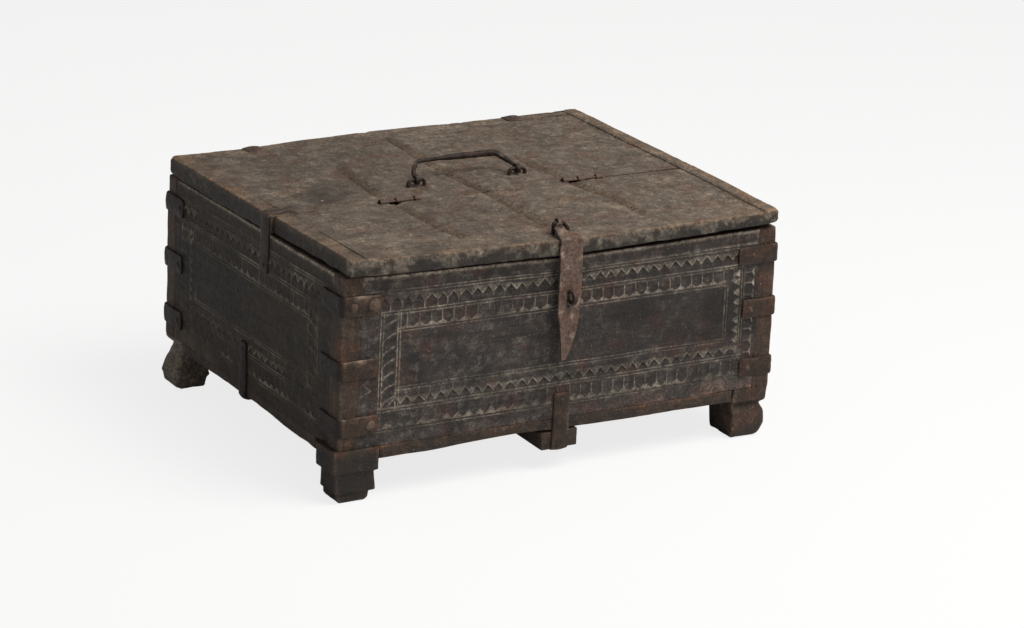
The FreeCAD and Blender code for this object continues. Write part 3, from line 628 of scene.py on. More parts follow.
def board(name, node, face, material, seed, uprights=None, fine=0.6, faded=0.0, rim_wear_and_highlight=(0.7, 0.7)):
    """A wall of the case. Face is the axis and side that it is carved on; uprights place its borders."""
    low, high = case_box(node)
    axis, side = face
    other = 1 - axis
    grid = [None, None, None]
    grid[axis] = marks(low[axis], high[axis], 5.0, edge=3.5)
    grid[other] = marks(low[other], high[other], fine if uprights else PLAIN_STEP, edge=2.0)
    grid[2] = carved_marks(low[2], high[2], fine) if uprights else marks(low[2], high[2], PLAIN_STEP)
    points, quads, place = lattice(*grid)
    on_face = place[:, axis] == (len(grid[axis]) - 1 if side > 0 else 0)
    depth = np.zeros(len(points))
    paint = {"dust_and_highlight": np.zeros(len(points)), "grime_and_shade": np.zeros(len(points))}
    if uprights:
        carving = Carving(grid[other], grid[2])
        carve_borders(carving, uprights)
        at = (place[on_face, other], place[on_face, 2])
        fade = np.clip(0.78 - faded + 0.75 * rough(points[on_face], (60, 60, 26), 3, seed), 0.12, 1)
        depth[on_face] = carving.depth[at] * (1 - 0.5 * faded)
        paint["dust_and_highlight"][on_face] = carving.dust_and_highlight[at] * fade
        paint["grime_and_shade"][on_face] = carving.grime_and_shade[at] * (1 - 0.5 * carving.dust_and_highlight[at]) * (1 - faded)
    near = edge_distance(points, low, high)
    below_rim = high[2] - points[:, 2]
    chips = np.clip(rough(points, (30, 30, 12), 3, seed + 3), 0, 1)
    rim, foot_line = points[:, 2] > RIM - 8, points[:, 2] < 8
    radius = 0.5 + (0.7 + 2.2 * chips) * rim + 1.2 * chips * foot_line
    points = round_edges(points, low, high, radius)
    points[:, axis] -= side * depth
    ripple = 0.35 * rough(points, BOARD_RIPPLES, 3, seed + 9)
    points[on_face, axis] += side * np.where(near > 2, ripple, 0.3 * ripple)[on_face]
    points = weather(points, 0.35, 45, seed)
    along = points[:, other] / high[other]
    # Along the rim: edge wear together with a painted highlight, running from the first given strength at one end
    # of the board to the second at the other
    bright = rim * np.clip(rim_wear_and_highlight[0] + (rim_wear_and_highlight[1] - rim_wear_and_highlight[0]) * along, 0, 1.5)
    height = points[:, 2]
    shoulder = smoothstep(height, 20, 2) * smoothstep(along, 0.62, 0.9)
    scuffs = np.clip(rough(points, 22, 3, seed + 6) + 0.5, 0, 1)
    edge = np.exp(-near / 2.2) * (bright + 0.7 * foot_line * chips)
    paint["wear_and_highlight"] = edge + 0.6 * shoulder * on_face * scuffs
    # A painted highlight: a pale line just below the rim on the carved face, as strong as the rim's bright edge
    paint["dust_and_highlight"] = paint["dust_and_highlight"] + 1.6 * np.exp(-((below_rim - 1.4) / 1.5) ** 2) * bright * on_face
    panel = on_face * smoothstep(height, 50, 66) * smoothstep(height, 118, 104)
    stain = smoothstep(rough(points, (60, 60, 30), 3, seed + 12), -0.3, 0.7)
    right = smoothstep(along, 0.35, 0.7)
    paint["grime_and_shade"] = paint["grime_and_shade"] + panel * (stain * (0.12 + 0.5 * right) + 0.45 * right) + 0.3 * faded
    piece(name, "case", points, quads, material, [node], paint)


board("front_board_carved", "front_board", (1, -1), FRONT_WOOD, 1, FRONT_UPRIGHTS, rim_wear_and_highlight=(1.3, 0.8))
board("left_board_carved", "left_board", (0, -1), SIDE_WOOD, 2, SIDE_UPRIGHTS, 0.8, 0.5, (1.2, 0.3))
board("right_board_carved", "right_board", (0, 1), SIDE_WOOD, 3, SIDE_UPRIGHTS, 0.8, 0.25)
board("back_board_plain", "back_board", (1, 1), BACK_WOOD, 4)

# Posts and feet. A row of a foot gives the height above the floor, then how far it stands proud of the
# case and how wide it is, seen from the front and seen from the side.
STEPPED_FOOT = [(0, -3.5, 26, -2, 26), (4, -0.5, 32, 0, 30), (10, -0.5, 33, 0, 30), (10.6, 2.5, 42, 2, 33),
                (30, 2.5, 40, 2, 32), (30.6, 5.5, 47, 3.5, 38), (53, 5, 47, 3, 39)]
BULB_FOOT = [(0, -9, 29, -5, 38), (4, -6, 33, -2, 42), (15, -2.5, 37, 1, 46), (27, -3, 37, 1, 46),
             (35, -7, 33, -4, 41), (38.5, -1.5, 39, 0, 45), (53, -0.5, 40, 0.5, 46)]
BELL_FOOT = [(0, -2, 29, -3, 30), (3, 2, 33, 0.5, 33), (11, 2.5, 35, 1, 35), (12.5, 3.5, 39, 3.5, 38),
             (29, 0, 32, 0, 32), (45, -5.6, 25, -5.6, 26), (49, 0, 38, 0, 38), (53, 0, 38, 0, 38)]
POST_SIZE, POST_FACE, BOARD = 38.0, 20.0, 18.0
FOOT_STEP, FOOT_TOP = 0.9, 50.0


def foot(table, soften, radius, seed):
    """A carved foot, drawn for the front left corner."""
    rows = np.array(table, float)
    run = np.concatenate([[0], np.cumsum(np.hypot(np.diff(rows[:, 0]), np.diff(rows[:, 1])) + 0.01)])
    places = np.linspace(0, run[-1], int(run[-1] / FOOT_STEP))
    levels = np.stack([np.interp(places, run, column) for column in rows.T], axis=1)
    kernel = np.hanning(2 * soften + 3)[1:-1]
    kernel /= kernel.sum()
    padded = np.pad(levels, ((soften, soften), (0, 0)), mode="edge")
    levels = np.stack([np.convolve(column, kernel, mode="valid") for column in padded.T], axis=1)
    levels[0, 0], levels[-1, 0] = 0, rows[-1, 0]
    across = marks(0, 30, 3, edge=7) / 30
    points, quads, place = lattice(across, across, np.arange(len(levels)))
    height, x, wide, y, deep = levels[place[:, 2]].T
    low = np.stack([-x, -y, np.full(len(x), FLOOR)], axis=1)
    high = np.stack([wide - x, deep - y, np.full(len(x), FOOT_TOP)], axis=1)
    points = np.stack([low[:, 0] + points[:, 0] * wide, low[:, 1] + points[:, 1] * deep, height + FLOOR],
                      axis=1)
    near = np.minimum(edge_distance(points, low, high), 9)
    chips = np.clip(rough(points, 14, 3, seed), 0, 1)
    points = round_edges(points, low, high, radius * (0.7 + 0.9 * chips))
    settled = points[:, 2] > FLOOR + 0.5
    points = np.where(settled[:, None], weather(points, 0.35, 16, seed), points)
    # Painted shade under each step that stands out over the part below it
    slope = np.gradient(levels[:, 1])
    ledge = 0.8 * smoothstep(np.convolve(slope, np.ones(5) / 5, mode="same"), 0.12, 0.6)[place[:, 2]]
    return points, quads, np.exp(-near / 2.0) * (0.3 + 0.9 * chips), ledge


def post(name, node, at_right, at_back, table, soften, radius, seed, darkening=0.4, dust_and_highlight=0.0):
    """A corner post in one piece with its foot, rebated for the boards above the bottom line."""
    foot_points, foot_quads, foot_wear, foot_ledge_shade = foot(table, soften, radius, seed)
    across = marks(0, POST_SIZE, 3.0, (BOARD, POST_FACE), edge=4)
    points, quads, _ = lattice(across, across, marks(0, RIM, 3.5), gone=lambda x, y, z: (
        ((x > POST_FACE) & (y < BOARD)) | ((x < BOARD) & (y > POST_FACE))))
    chips = np.clip(rough(points, (20, 20, 26), 3, seed + 4), 0, 1)
    # This block is larger than the post, so that only the outer corner and the rim are rounded
    low, high = np.array([0, 0, -20.0]), np.array([90, 90, RIM])
    corner = np.maximum(points[:, 0], points[:, 1])
    points = round_edges(points, low, high, 1.5 + 2.6 * chips)
    points[:, :2] += 0.3 * rough(points, (30, 30, 60), 2, seed + 8)[:, None]
    wear_and_highlight = np.exp(-corner / 2.5) * (0.2 + 0.6 * chips) + np.exp(-(RIM - points[:, 2]) / 2.0) * 0.5
    points, quads = join((points, quads), (foot_points, foot_quads))
    under = np.concatenate([np.zeros(len(wear_and_highlight)), foot_ledge_shade])
    stains_and_shade = 0.3 * smoothstep(rough(points, 25, 2, seed), 0, 1) + under + 0.12 * at_right
    # Below the case's bottom line a foot is painted darker by the amount given per post; the last argument paints
    # it paler there, as painted light
    paint = {"wear_and_highlight": np.concatenate([wear_and_highlight, foot_wear]),
             "dust_and_highlight": dust_and_highlight * (points[:, 2] < 0),
             "grime_and_shade": darkening * smoothstep(-points[:, 2], -2, 9) + stains_and_shade}
    if at_right:
        points[:, 0] = WIDTH - points[:, 0]
    if at_back:
        points[:, 1] = DEPTH - points[:, 1]
    if at_right != at_back:
        quads = [face[::-1] for face in quads]
    piece(name, "case", points, quads, POST_WOOD, [node], paint)


post("post_with_stepped_foot", "post_front_left", False, False, STEPPED_FOOT, 1, 1.2, 21, 0.95)
post("post_with_bulb_foot", "post_front_right", True, False, BULB_FOOT, 3, 3.0, 22, 0.1)
post("post_with_bell_foot", "post_back_left", False, True, BELL_FOOT, 2, 4.0, 23, 0.0, 0.45)
post("post_with_hidden_foot", "post_back_right", True, True, BULB_FOOT, 3, 3.0, 24)


def block(node, step, radius, seed, gone=None, extra=((), (), ()), wavy=0.0):
    """A plain worn piece of wood of a node's size; a wavy one is thinner in places."""
    low, high = case_box(node)
    grid = [marks(low[i], high[i], step, extra[i], edge=min(3.0, (high[i] - low[i]) / 4)) for i in range(3)]
    points, quads, _ = lattice(*grid, gone=gone)
    near = edge_distance(points, low, high)
    chips = np.clip(rough(points, (24, 24, 14), 3, seed), 0, 1)
    points = round_edges(points, low, high, radius * (0.6 + 1.4 * chips))
    points = weather(points, 0.35, 30, seed)
    x, y, z = points.T
    below = z < (low[2] + high[2]) / 2
    thinner = 0.5 + 0.6 * rough(points, 110, 2, seed) + 0.8 * smoothstep(y, 90, 160)
    z += wavy * below * np.clip(thinner, 0, 1.6)
    # Edge wear, stronger on the upper edges than below them and, on a wavy piece, towards the right and at a patch
    # near the front left; the brighter upper arris is partly a painted highlight
    bright = 0.5
    if wavy:
        bright = 0.3 + 0.6 * smoothstep(x, 260, 380) + blot(points, 60, 0, 42, 30)
    wear_and_highlight = np.exp(-near / 2.2) * (0.3 + 0.9 * chips) * np.where(below, 0.4, bright)
    # Darker all over, and darker again on the lower half
    grime_and_shade = 0.35 + 0.3 * below + 0.3 * np.clip(rough(points, 30, 2, seed + 5), 0, 1)
    paint = {"wear_and_highlight": wear_and_highlight, "grime_and_shade": grime_and_shade}
    piece(node + "_worn", "case", points, quads, BASE_WOOD, [node], paint)


NOTCH = (43.0, 46.0)


def round_the_feet(x, y, z):
    """The corners of the bottom board, which the feet fill."""
    return (np.minimum(x, WIDTH - x) < NOTCH[0]) & (np.minimum(y, DEPTH - y) < NOTCH[1])


block("bottom_board", 5.0, 1.3, 31, round_the_feet,
      ((NOTCH[0], WIDTH - NOTCH[0]), (NOTCH[1], DEPTH - NOTCH[1]), ()), 3.0)
block("centre_runner", 4.0, 2.2, 32, wavy=3.0)
block("cross_rail", 4.0, 1.2, 33)

# The top. Each groove is a route from back to front in x and y, and is open where it meets the joint.
GROOVE_DEPTH = 3.0
GROOVE_LEFT, GROOVE_RIGHT = 3.6, 11.0
REAR_END, FLAP_END = 150, 156
REAR_GROOVES = [[(139, 292), (132, 245), (128, 200), (128, REAR_END)],
                [(231, 368), (228, 300), (227, 220), (231, REAR_END)],
                [(327, 262), (323, 215), (330, REAR_END)]]
FLAP_GROOVES = [[(128, FLAP_END), (131, 110), (132, 65), (140, 20)],
                [(231, FLAP_END), (232, 100), (236, 50), (240, 18)],
                [(330, FLAP_END), (333, 112), (341, 88), (346, 28)]]
# Each hinge has an eye at its middle and one at either side. A pair is an eye's place on the hinge and half
# the width of its notch.
HINGES = {"left": 138.0, "right": 345.0}
HINGE_REACH, HINGE_SINK, PIN_SINK = 23.0, 4.0, 2.2
EYE_SHIFT = 19.0
HINGE_EYES = [(-EYE_SHIFT, 3.9), (0, 5.3), (EYE_SHIFT, 3.9)]


def groove_cut(points, routes):
    """How deep the grooves are at each point, and how near it is to the painted shade line along them."""
    depth, line = np.zeros(len(points)), np.zeros(len(points))
    x, y = points[:, 0], points[:, 1]
    for route in routes:
        xs, ys = np.array(route[::-1], float).T
        offset = x - np.interp(y, ys, xs) - 0.5 * noise(points, (9, 22, 9), 3)
        share = offset / np.where(offset < 0, GROOVE_LEFT, GROOVE_RIGHT)
        ends = ys[-1] - y if ys[0] == REAR_END else y - ys[0]
        taper = smoothstep(ends, -1, 16)
        depth = np.maximum(depth, GROOVE_DEPTH * np.clip(1 - np.abs(share) ** 1.6, 0, 1) * taper)
        line = np.maximum(line, np.clip(1.3 - np.abs(offset) / 3.2, 0, 1) * taper)
    return depth, line


def hinge_hollows(x, y, z):
    """The notches round both hinges: a narrow one for the pin, and a wider and deeper one at each eye."""
    gone = np.zeros(x.shape, bool)
    for hinge_x in HINGES.values():
        gone |= (np.abs(x - hinge_x) < HINGE_REACH) & (np.abs(y - JOINT_Y) < PIN_SINK) & (z > TOP - PIN_SINK)
        for shift, half in HINGE_EYES:
            at_eye = (np.abs(x - hinge_x - shift) < half) & (np.abs(y - JOINT_Y) < HINGE_SINK)
            gone |= at_eye & (z > TOP - HINGE_SINK)
    return gone


def union(*nodes):
    """The box round several nodes."""
    boxes = [case_box(node) for node in nodes]
    return np.min([low for low, high in boxes], axis=0), np.max([high for low, high in boxes], axis=0)


REAR = union("rear_top", "rear_left_cleat", "rear_right_cleat", "rear_back_strip")
FLAP = union("flap_board", "flap_left_cleat", "flap_right_cleat")
TOP_STEP = 1.6
REAR_SEED, FLAP_SEED = 41, 45
BATTEN_RISE = 1.0
SEAM = case_box("flap_right_cleat")[0][0]
# Marks on the top: a dark stain (middle and half sizes), a pale line near the back (middle and half length),
# the rubbed front right corner, pale flecks and scratches, and the dark ripples under the edge strap
STAIN = (79, 195, 38, 38)
BACK_LINE_X, BACK_LINE_Y, BACK_LINE_HALF = 326, 370.5, 60
RUBBED_X, RUBBED_Y = 445, 5
FLECKS = [(61.9, 219.4), (69.6, 182.5), (449.9, 52.0), (128.0, 160.0)]
SCRATCHES = [((48.5, 140), (49, 118)), ((49, 106), (51, 76)), ((44.5, 50), (43.5, 42))]
RIPPLES = [((5, 176), (20, 181)), ((7, 170), (33, 176)), ((4, 163), (26, 169)), ((8, 156), (30, 160)),
           ((14, 148), (27, 151))]


def beside(points, route):
    """How far each point lies from a short straight mark on the top."""
    (x0, y0), (x1, y1) = route
    dx, dy = x1 - x0, y1 - y0
    x, y = points[:, 0] - x0, points[:, 1] - y0
    along = np.clip((x * dx + y * dy) / (dx * dx + dy * dy), 0, 1)
    return np.hypot(x - along * dx, y - along * dy)


def scratched(points):
    """Pale flecks, and broken scratches, on the top."""
    pale = np.zeros(len(points))
    for x, y in FLECKS:
        pale = np.maximum(pale, 1.4 * (np.hypot(points[:, 0] - x, points[:, 1] - y) < 1.3))
    broken = smoothstep(rough(points, 5, 2, 61), 0.0, 0.5)
    for route in SCRATCHES:
        pale = np.maximum(pale, 0.7 * (beside(points, route) < 1.0) * broken)
    return pale


def rippled(points):
    """Dark ripples across the left edge of the top, where the strap is bent over it."""
    upper = points[:, 2] > TOP - 4
    return upper * np.max([np.exp(-(beside(points, route) / 1.3) ** 2) for route in RIPPLES], axis=0)


def top_paint(points, start, upper, near, outside, chips, groove, line, seed):
    """Dust, wear, grime and painted shade of a piece of the top. Start holds its points before they were worn."""
    x, y, z = start.T
    edge = np.exp(-near / 2.8) * smoothstep(outside, 12, 4) * smoothstep(z, TOP - 13, TOP - 3)
    band = smoothstep(x + 4 * noise(points, 30, seed), 30, 12)
    scuffs = smoothstep(rough(points, (40, 26, 30), 3, seed + 7), 0.25, 1.0)
    pale = smoothstep(rough(points, (5, 5, 5), 3, seed + 9), 0.1, 1.4)
    pale = pale * smoothstep(noise(points, 40, seed), -0.5, 0.5)
    deep = smoothstep(z, TOP - 6, TOP - 13)
    face = (y < 0) * smoothstep(rough(points, (9, 9, 7), 3, seed + 14), -0.15, 0.35)
    inward = smoothstep(outside + 9 * noise(points, 26, seed + 16), 10, 44)
    stains_and_shade = 0.45 * blot(points, *STAIN) * (y > JOINT_Y) + 0.9 * rippled(points)
    seam = np.exp(-np.abs(x - SEAM) / 1.1)
    stains_and_shade = stains_and_shade + 0.3 * seam * smoothstep(rough(points, 14, 2, seed), -0.4, 0.3)
    stains_and_shade = stains_and_shade + 0.14 * smoothstep(x, 260, 160) + 0.22 * smoothstep(x, 34, 18)
    for hinge_x in HINGES.values():
        stains_and_shade = stains_and_shade + 0.7 * blot(points, hinge_x, JOINT_Y, 22, 6, seed)
    # Faces below the top: painted shade on those inside joints and hinge notches, and dark paint with pale specks
    # on the outer ones
    sides = np.where(outside > 3, 0.85 - 0.4 * inward - 0.1 * scuffs,
                     1.0 - 0.3 * pale - 0.45 * face * (1 - 0.5 * deep))
    # Painted shade along the steep left wall of each groove, and darker paint all through the grooves
    stains_and_shade = stains_and_shade + 0.5 * line + 0.6 * smoothstep(groove, 0.1, 0.8)
    grime_and_shade = np.where(upper, stains_and_shade, sides * (1 - 0.7 * edge))
    lightening = 0.5 * band * (0.4 + 0.7 * chips) + 0.22 * scuffs + 0.3 * smoothstep(groove, 0, 0.7)
    lightening = lightening + 0.3 * smoothstep(x, SEAM, SEAM + 5) + 0.2 * smoothstep(y, 372, 375)
    lightening = lightening + 0.4 * np.exp(-np.hypot(x - RUBBED_X, y - RUBBED_Y) / 22)
    left_face = (x < 1) * (z < TOP - 1)
    wear_and_highlight = 0.95 * edge * (0.35 + chips) * (1 - 0.6 * left_face) + upper * lightening
    back_line = 0.5 * np.exp(-np.abs(y - BACK_LINE_Y) / 1.2) * (np.abs(x - BACK_LINE_X) < BACK_LINE_HALF)
    dust_and_highlight = np.where(upper, 0.15 * scuffs + scratched(points) + back_line,
                    (0.8 * pale + 0.15) * face + 0.1 * pale)
    return {"grime_and_shade": grime_and_shade, "wear_and_highlight": wear_and_highlight, "dust_and_highlight": dust_and_highlight}


def top_piece(name, node, whole, grain, routes=()):
    """A piece of the rear top or of the flap, worn along the whole's outer edges. A grooved one is hinged."""
    low, high = case_box(node)
    front = whole is FLAP
    seed = FLAP_SEED if front else REAR_SEED
    notches, sink = [], []
    if routes:
        notches = [x + shift + side * half for x in HINGES.values() for shift, half in HINGE_EYES
                   for side in (-1, 1)]
        sink = [JOINT_Y + side * deep for deep in (HINGE_SINK, PIN_SINK) for side in (-1, 1)]
    grid = [marks(low[0], high[0], TOP_STEP, notches),
            marks(low[1], high[1], TOP_STEP, [y for y in sink if low[1] < y < high[1]]),
            marks(low[2], high[2], 3.0, [TOP - HINGE_SINK, TOP - PIN_SINK])]
    start, quads, place = lattice(*grid, gone=hinge_hollows if routes else None)
    upper = place[:, 2] == len(grid[2]) - 1
    x, y, z = start.T
    near = edge_distance(start, *whole)
    outside = np.minimum.reduce([x - whole[0][0], whole[1][0] - x,
                                 y - whole[0][1] if front else whole[1][1] - y])
    outer = smoothstep(outside, 12, 4)
    chips = np.clip(rough(start, (22, 22, 9), 3, seed + 2), 0, 1)
    nicks = np.clip(rough(start, (7, 7, 5), 2, seed + 6) - 0.45, 0, 1)
    corner_x, corner_y = (whole[1][0], whole[0][1]) if front else (0, whole[1][1])
    corner = np.exp(-np.hypot(x - corner_x, y - corner_y) / 14)
    depth, line = groove_cut(start, routes)
    points = round_edges(start, low, high, 0.2)
    points = round_edges(points, *whole, 0.4 + outer * (1.4 + 2.4 * chips + 3.0 * nicks + 4.5 * corner))
    points[upper & (np.abs(y - JOINT_Y) < 1), 1] = JOINT_Y
    height = points[:, 2]
    height -= upper * depth
    height -= upper * (0.4 + 0.5 * rough(points, (50, 50, 50), 3, REAR_SEED))
    points[:, :2] += outer[:, None] * 0.6 * rough(points, 38, 2, seed + 4)[:, None]
    if "right" in node:
        bow = 1 - ((x - (low[0] + high[0]) / 2) / (high[0] - low[0]) * 2) ** 2
        height += upper * BATTEN_RISE * np.clip(bow * 1.8, 0, 1)
    else:
        height -= upper * 1.2 * smoothstep(x, 330, 455)
    if front:
        height -= upper * 1.8 * smoothstep(x, 45, 4) * smoothstep(y, 120, 0)
        points[:, 0] -= 1.5 * smoothstep(x, 30, 4)
        lift = np.maximum(smoothstep(y, 13, -5) * (2.2 + 3.6 * x / WIDTH), 2.2 * smoothstep(x, 14, 0))
        height += lift * (TOP - z) / (TOP - RIM)
    else:
        height += upper * 1.6 * corner
    paint = top_paint(points, start, upper, near, outside, chips, depth / GROOVE_DEPTH, line, seed)
    piece(name, "flap" if front else "case", points, quads, TOP_WOOD[grain], [node], paint)


top_piece("rear_top_grooved", "rear_top", REAR, "x", REAR_GROOVES)
top_piece("rear_left_cleat_worn", "rear_left_cleat", REAR, "y")
top_piece("rear_right_cleat_worn", "rear_right_cleat", REAR, "y")
top_piece("rear_back_strip_worn", "rear_back_strip", REAR, "x")
top_piece("flap_grooved", "flap_board", FLAP, "x", FLAP_GROOVES)
top_piece("flap_left_cleat_worn", "flap_left_cleat", FLAP, "y")
top_piece("flap_right_cleat_worn", "flap_right_cleat", FLAP, "y")

# Iron straps, let into the wood a little. The two over the back edge start behind the front ends of their
# solids. Those at the bottom of the front and the back are drawn at the middle.
STRAP, THIN_STRAP, SUNK = 2.0, 1.4, 0.8
STRAP_BEND, STRAP_END = 2.6, 3.5
BACK_STRAP_INSET = 13.0
MIDDLE = 240.0


def strip(corners, across, outward, width, thickness, seed):
    """A beaten strip: its inner skin follows the corners, outward says which side its outer skin is on."""
    route = rounded_route(corners, STRAP_BEND)
    run = run_of(route)
    length = run[-1]
    ahead = headings(route)
    normal = np.cross(ahead, across)
    normal /= np.linalg.norm(normal, axis=1, keepdims=True)
    if normal[0] @ outward < 0:
        normal = -normal
    low, high = np.array([0, -width / 2, -SUNK]), np.array([length, width / 2, thickness])
    points, quads, place = lattice(marks(0, length, 1.6, edge=STRAP_END), marks(low[1], high[1], 1.5),
                                   np.array([-SUNK, 0.2, 0.8, 1.4, thickness]))
    near = edge_distance(points, low, high)
    points = round_edges(points, low, high, 0.7)
    along, side, up = points.T
    from_end = np.minimum(along, length - along)
    short = np.clip(STRAP_END - from_end, 0, STRAP_END)
    inset = STRAP_END - np.sqrt(np.clip(STRAP_END ** 2 - short ** 2, 0, None))
    side *= (width / 2 - inset) / (width / 2) * (1 + 0.05 * noise(points, (14, 99, 99), seed))
    swell = 0.9 * (1 - (side / (width / 2)) ** 2) * smoothstep(from_end, 1, 7)
    up += (swell + 0.45 * rough(points, (11, 9, 99), 2, seed)) * (up > 0.1)
    on, out = ([np.interp(along, run, path[:, i]) for i in range(3)] for path in (route, normal))
    placed = np.stack(on, axis=1) + np.stack(out, axis=1) * up[:, None] + np.outer(side, across)
    shell = (placed, quads if np.cross(ahead[0], across) @ normal[0] > 0 else quads[:, ::-1])
    return shell, np.exp(-near / 2.0), place[:, 1] / place[:, 1].max()


def strap(node, corners, across, outward, width, seed, dirt=0.0, thickness=STRAP, material=IRON, lightening=0.0):
    """One strap on the case, darker as painted shade where it is on the left face and on its lower half, with a
    painted highlight along its upper edge. Its last argument paints a highlight along the rear edge of a strap
    on the left face."""
    (points, quads), wear_and_highlight, share = strip(corners, across, outward, width, thickness, seed)
    chips = np.clip(rough(points, 9, 2, seed + 3) + 0.4, 0, 1)
    ripple = rippled(points)
    x, y, z = points.T
    z -= 0.5 * ripple
    on_left = (x < 1.0) * (z < TOP - 2)
    # Darker: dirt given per strap, painted shade on the left face and on the lower half, darker straps on the
    # right half, and the ripples
    darkening = dirt + 0.35 * (1 - share) + 0.8 * on_left + 0.15 * (x > WIDTH / 2) + 0.9 * ripple
    # A painted highlight along the upper edge, added to the edge wear; both weaker towards the right and on the
    # left face
    upper = (0.25 + 0.75 * smoothstep(share, 0.4, 0.9)) * (1 - 0.8 * x / WIDTH)
    wear_and_highlight = (wear_and_highlight + 0.35 * smoothstep(share, 0.55, 0.95)) * chips * upper
    wear_and_highlight = wear_and_highlight * (1 - 0.7 * np.clip(darkening, 0, 1)) * (1 - 0.8 * on_left)
    # A painted highlight along the rear edge of a strap on the left face, by the amount given
    rear = lightening * on_left * smoothstep(y, y.max() - 1.9, y.max() - 0.7)
    paint = {"wear_and_highlight": np.maximum(wear_and_highlight, rear), "grime_and_shade": darkening * (1 - rear)}
    piece(node + "_beaten", "case", points, quads, material, [node], paint)


# The corner straps, and how much higher than its solid one is drawn
STRAP_LEVELS = ("low", "mid", "high")
STRAP_SHIFT = {"corner_strap_front_left_mid": -3.5, "corner_strap_front_right_mid": 2.0}
CORNERS = {"front_left": (0, 0), "front_right": (WIDTH, 0), "back_right": (WIDTH, DEPTH),
           "back_left": (0, DEPTH)}
SIDES = {"left": (0.0, -X), "right": (WIDTH, X)}


def corner_strap(corner, level):
    """A corner strap's node, the corners of its box and the height at which it is drawn."""
    node = "corner_strap_%s_%s" % (corner, level)
    low, high = case_box(node)
    return node, low, high, (low[2] + high[2]) / 2 + STRAP_SHIFT.get(node, 0)


for number, (corner, (x, y)) in enumerate(CORNERS.items()):
    for level in STRAP_LEVELS:
        node, low, high, z = corner_strap(corner, level)
        far_x = high[0] if x == 0 else low[0] + (-4 if level == "high" else 3)
        far_y = high[1] if y == 0 else low[1]
        strap(node, [(far_x, y, z), (x, y, z), (x, far_y, z)], Z, Y * (1 if y else -1), high[2] - low[2],
              50 + 3 * number + len(level))

low, high = case_box("bottom_strap_front")
strap("bottom_strap_front", [(MIDDLE, 0, high[2]), (MIDDLE, 0, low[2] + 4), (MIDDLE, high[1], low[2] + 4)],
      X, -Y, high[0] - low[0] - 1, 71)
low, high = case_box("bottom_strap_back")
strap("bottom_strap_back", [(MIDDLE, DEPTH, high[2]), (MIDDLE, DEPTH, low[2] + STRAP),
                            (MIDDLE, low[1], low[2] + STRAP)], X, Y, high[0] - low[0], 72)
for side, (x, outward) in SIDES.items():
    node = "bottom_strap_" + side
    low, high = case_box(node)
    y = (low[1] + high[1]) / 2
    under = high[0] if side == "left" else low[0]
    strap(node, [(x, y, high[2]), (x, y, low[2] + 5), (under, y, low[2] + 5)], Y, outward, high[1] - low[1],
          73 + len(side))
    node = "back_strap_" + side
    low, high = case_box(node)
    x = (low[0] + high[0]) / 2
    strap(node, [(x, low[1] + BACK_STRAP_INSET, TOP - 0.8), (x, DEPTH, TOP - 0.8), (x, DEPTH, low[2])], X, Z,
          high[0] - low[0] - 2, 93 + len(side), 0.1, THIN_STRAP, HASP_IRON)
low, high = case_box("edge_strap_left")
y = (low[1] + high[1]) / 2
strap("edge_strap_left", [(high[0], y, TOP - 1.2), (0, y, TOP - 0.7), (0, y, low[2])], -Y, Z,
      high[1] - low[1], 87, 0.15, 1.2, HASP_IRON, lightening=0.8)

# Nails
NAIL_SIZE = {"low": 1.4, "mid": 0.75, "high": 2.0}
NAIL_HEAD, NAIL_DOME, NAIL_SIDES = 3.6, 2.0, 16
NAIL_INSET = 8.0


def nail(place, outward, size=0.8):
    """A domed nail head on the skin of a strap."""
    turns = np.linspace(math.pi / 2 - 0.12, 0, 6)
    profile = [(NAIL_HEAD * size * math.cos(t), NAIL_DOME * size * math.sin(t)) for t in turns]
    profile.append((NAIL_HEAD * size * 0.9, -SUNK))
    return lathe(profile[::-1], np.array(place, float) + outward * STRAP, outward, NAIL_SIDES)


def nails(name, node, heads, seed):
    """All nails of one kind as one piece."""
    points, faces = join(*heads)
    points = weather(points, 0.25, 5, seed)
    # Nail heads on the left face are painted darker, as shade
    paint = {"wear_and_highlight": 0.2 + 0.5 * noise(points, 40, seed), "grime_and_shade": 0.2 + 0.8 * (points[:, 0] < 1.0)}
    piece(name, "case", points, faces, IRON, [node], paint)


heads = []
for corner, (x, y) in CORNERS.items():
    for level in STRAP_LEVELS:
        node, low, high, z = corner_strap(corner, level)
        nail_x = high[0] - NAIL_INSET if x == 0 else low[0] + NAIL_INSET + 4
        nail_y = high[1] - NAIL_INSET if y == 0 else low[1] + NAIL_INSET
        size = NAIL_SIZE[level] if corner == "front_left" else 0.9
        heads.append(nail((nail_x, y, z), Y if y else -Y, size))
        heads.append(nail((x, nail_y, z), X if x else -X))
low, high = case_box("corner_strap_front_left_high")
heads.append(nail((10.5, 0, (low[2] + high[2]) / 2 - 1), -Y, 1.35))
nails("corner_nails_domed", "corner_strap_nails", heads, 101)

bottom_z = case_box("bottom_strap_front")[1][2] - NAIL_INSET
heads = [nail((MIDDLE, 0, bottom_z), -Y), nail((MIDDLE, DEPTH, bottom_z), Y)]
for side, (x, outward) in SIDES.items():
    low, high = case_box("bottom_strap_" + side)
    heads.append(nail((x, (low[1] + high[1]) / 2, high[2] - NAIL_INSET), outward))
    low, high = case_box("back_strap_" + side)
    middle_x = (low[0] + high[0]) / 2
    heads.append(nail((middle_x, low[1] + BACK_STRAP_INSET + NAIL_INSET, TOP - 1.2), Z, 0.6))
    heads.append(nail((middle_x, DEPTH, low[2] + NAIL_INSET), Y))
low, high = case_box("edge_strap_left")
heads.append(nail((0.6, (low[1] + high[1]) / 2, low[2] + NAIL_INSET), -X))
nails("strap_nails_domed", "middle_strap_nails", heads, 102)

